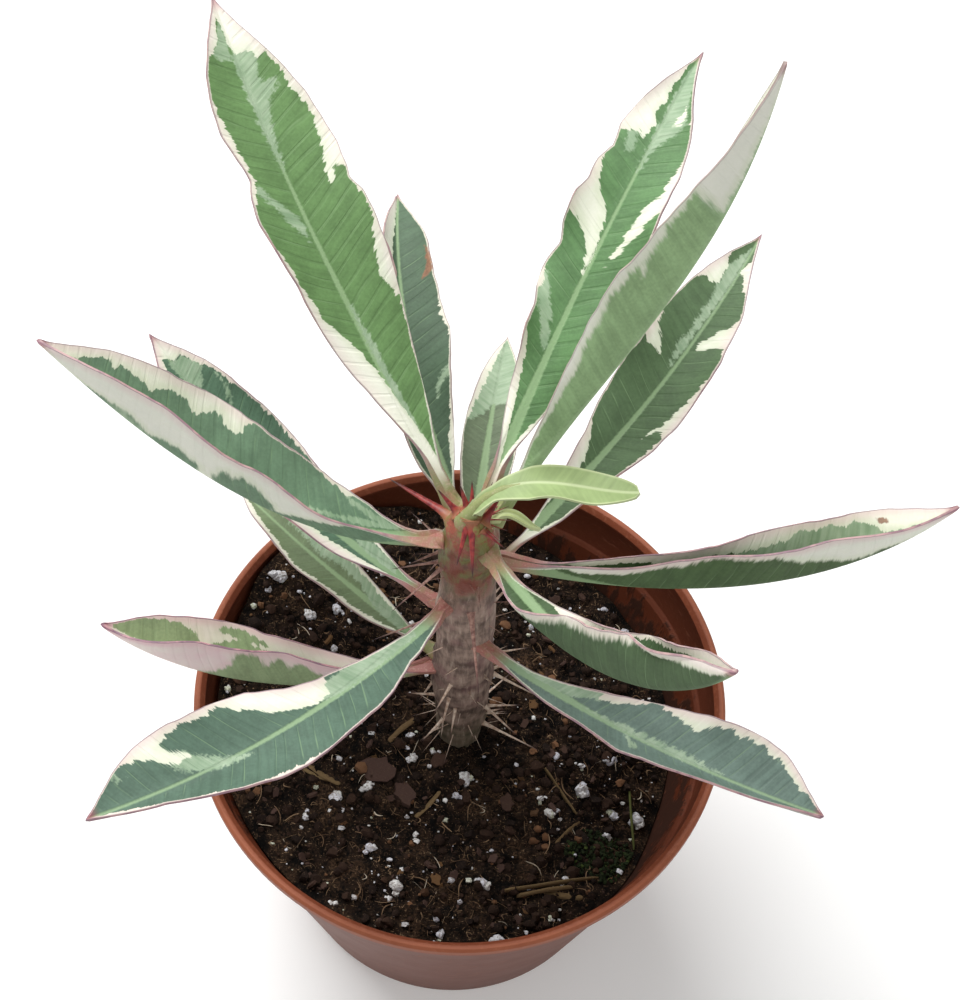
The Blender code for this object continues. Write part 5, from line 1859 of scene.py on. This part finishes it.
fibre_model = model_straw("fibre_model", 6, 3, 6.0)
fibre_places = []
for _ in range(FIBRES):
    length = (1.2 + 4.2 * draw.random() ** 2) * MM
    x, y = soil_spot(draw, length * 0.6)
    fibre_places.append(lying(draw, x, y, length, draw.uniform(0.04, 0.13) * MM))
fibres = all_copies("peat_fibres", fibre_model, fibre_places, {"tone": draw.random(FIBRES)})
straw_model = model_straw("straw_model", 16, 12, 0.5)
straw_places = []
for x1, y1, x2, y2, girth, tone in STRAWS:
    length = math.hypot(x2 - x1, y2 - y1) * MM
    heading = math.atan2(y2 - y1, x2 - x1)
    straw_places.append(lying(draw, (x1 + x2) / 2 * MM, (y1 + y2) / 2 * MM, length, girth * MM, heading))
straws = all_copies("straws", straw_model, straw_places, {"tone": [straw[5] for straw in STRAWS]})
drop(fibre_model, straw_model)
print("faces of fibres and straws:", len(fibres.data.polygons), len(straws.data.polygons))

# %% [markdown]
# A bark chip is a flat block whose outline is drawn in at the corners and torn by noise. The large ones lie
# nearly flat where they were seen, and the small ones lean any way.

# %% Bark chips
SLAB_LIFT = 0.5 * MM
SLAB_THICKNESS = 1.1 * MM
SLAB_LEAN = 0.25
CHIP_LEAN = 0.9
chip_model = cut_cube("chip_model", 1, 2)
for vertex in chip_model.data.vertices:
    round_off = 0.6 + 0.2 / max(0.5, math.hypot(vertex.co.x, vertex.co.y))
    ragged = 1 + 0.7 * noise.noise(Vector((vertex.co.x, vertex.co.y, 0)) * 1.7 + Vector((4, 0, 0)))
    vertex.co.x *= round_off * ragged
    vertex.co.y *= round_off * ragged
chip_places = []
chip_tones = []
for x, y, size, tone in SLABS:
    place = tipped(draw, on_soil(x * MM, y * MM, SLAB_LIFT), SLAB_LEAN)
    chip_places.append(place @ Matrix.Diagonal((size * 0.8 * MM, size * MM, SLAB_THICKNESS, 1)))
    chip_tones.append(tone)
for _ in range(CHIPS):
    size = (0.7 + 1.6 * draw.random() ** 2) * MM
    x, y = soil_spot(draw, size)
    place = tipped(draw, on_soil(x, y, size * 0.1), CHIP_LEAN)
    chip_places.append(place @ Matrix.Diagonal((size * draw.uniform(0.4, 1), size, size * 0.25, 1)))
    chip_tones.append(draw.random())
chips = all_copies("bark_chips", chip_model, chip_places, {"tone": chip_tones})
drop(chip_model)
print("chips:", len(chip_places))

# %% [markdown]
# Perlite is puffed volcanic glass. A grain is three dented balls of different sizes that have grown
# together, because one ball alone looks like a pebble. Fine specks of it lie between the crumbs.

# %% Perlite
LOBES = (0.85, 0.6, 0.5)
perlite_model = rough_ball("perlite_model", 3, 0.5, 5.0)
perlite_places = []
for x, y, size in GRAINS:
    for part, share in enumerate(LOBES):
        aside = Vector((draw.uniform(-0.4, 0.4), draw.uniform(-0.4, 0.4), 0)) * size * min(part, 1) * MM
        middle = on_soil(x * MM + aside.x, y * MM + aside.y, 0.12 * size * MM)
        perlite_places.append(tumbled(draw, *middle, size * share * MM, 0.8))
perlite = all_copies("perlite", perlite_model, perlite_places, {"tone": draw.random(len(perlite_places))})
speck_model = rough_block("speck_model", 0.7, 5.0)
speck_places = []
for _ in range(SPECKS):
    size = (0.3 + 1.3 * draw.random() ** 3) * MM
    x, y = soil_spot(draw, size)
    speck_places.append(tumbled(draw, *on_soil(x, y, size * 0.2), size, 0.7))
specks = all_copies("perlite_specks", speck_model, speck_places, {"tone": draw.random(SPECKS)})
drop(perlite_model, speck_model)
print("perlite lobes and specks:", len(perlite_places), len(speck_places))

# %% [markdown]
# Peat is nearly black where its relief is low and brown where it is high, with thin pale threads. Every
# kind of debris shares one finish, which mixes two colours by a number stored for each copy, because a
# finish for each copy would be hundreds of materials.

# %% Soil finishes
def finish_lumps(piece, finish, slot):
    """Gives a piece of the soil its finish."""
    piece.data.materials.append(finish)
    settle(piece, "potting_soil", slot, sharp=60)


peat, shader, start = new_finish("peat", roughness=0.95, specular=0.15)
spot = start.place()
lump = spot.grain(2.4 * MM, 5, 0.7)
dust = spot.grain(0.5 * MM, 4, 0.7)
earth = lump.rise(0.38, 0.68).colour((10, 7, 6), (50, 36, 27))
earth = (spot.grain(9 * MM, 3).rise(0.5, 0.7) * dust.rise(0.4, 0.6) * 0.6).colour(earth, (104, 78, 58))
earth = dust.rise(0.6, 0.72).colour(earth, (124, 98, 78))
for turn, stretch in ((0.3, (1, 0.16, 0.5)), (1.9, (0.16, 1, 0.5)), (1.1, (0.16, 1, 0.5))):
    threads = spot.stretched(stretch, (0, 0, turn)).grain(0.22 * MM, 1)
    earth = (threads.rise(0.68, 0.74) * lump.rise(0.4, 0.6)).colour(earth, (150, 122, 94))
feed(shader, Base_Color=earth, Normal=bump(dust + lump, 0.7 * MM, 1.0))
finish_lumps(soil, peat, "potting_soil")


def debris_finish(name, piece, dark, light, rare, rare_from):
    """A rough finish for scattered bits: each has a tone between two colours, and a few have a rare one."""
    made, shader, start = new_finish(name, roughness=0.92, specular=0.2)
    spot = start.place()
    dust = spot.grain(0.4 * MM, 3, 0.7)
    tone = start.attribute("tone")
    skin = (tone * 0.7 + dust * 0.5 - 0.1).colour(dark, light)
    skin = tone.rise(rare_from, rare_from + 0.06).colour(skin, rare)
    skin = (dust.rise(0.58, 0.75) * 0.35).colour(skin, (132, 108, 88))
    feed(shader, Base_Color=skin, Normal=bump(dust, 0.25 * MM, 0.9))
    finish_lumps(piece, made, "potting_soil")


debris_finish("peat_crumb", crumbs, (18, 12, 10), (62, 43, 33), (118, 84, 60), 0.9)
debris_finish("moss_green", moss, (20, 26, 14), (44, 56, 28), (70, 84, 40), 0.92)
debris_finish("fibre", fibres, (84, 62, 46), (168, 138, 108), (210, 196, 176), 0.88)
debris_finish("straw", straws, (86, 62, 44), (138, 118, 82), (92, 98, 54), 0.75)
debris_finish("bark_chip", chips, (84, 64, 58), (58, 40, 30), (104, 76, 50), 0.8)

perlite_finish, shader, start = new_finish("perlite", roughness=0.85)
spot = start.place()
pore = spot.grain(0.5 * MM, 3, 0.6)
tone = start.attribute("tone")
white = tone.colour((214, 214, 226), (236, 234, 228))
white = pore.rise(0.55, 0.35).colour(white, (164, 154, 150))
white = (tone.rise(0.86, 0.92) * 0.5).colour(white, (176, 184, 140))
feed(shader, Base_Color=white, Normal=bump(pore, 0.4 * MM, 0.9))
for piece in (perlite, specks):
    finish_lumps(piece, perlite_finish, "potting_soil")
print("soil finishes: peat, peat_crumb, moss_green, fibre, straw, bark_chip, perlite")

# %% [markdown]
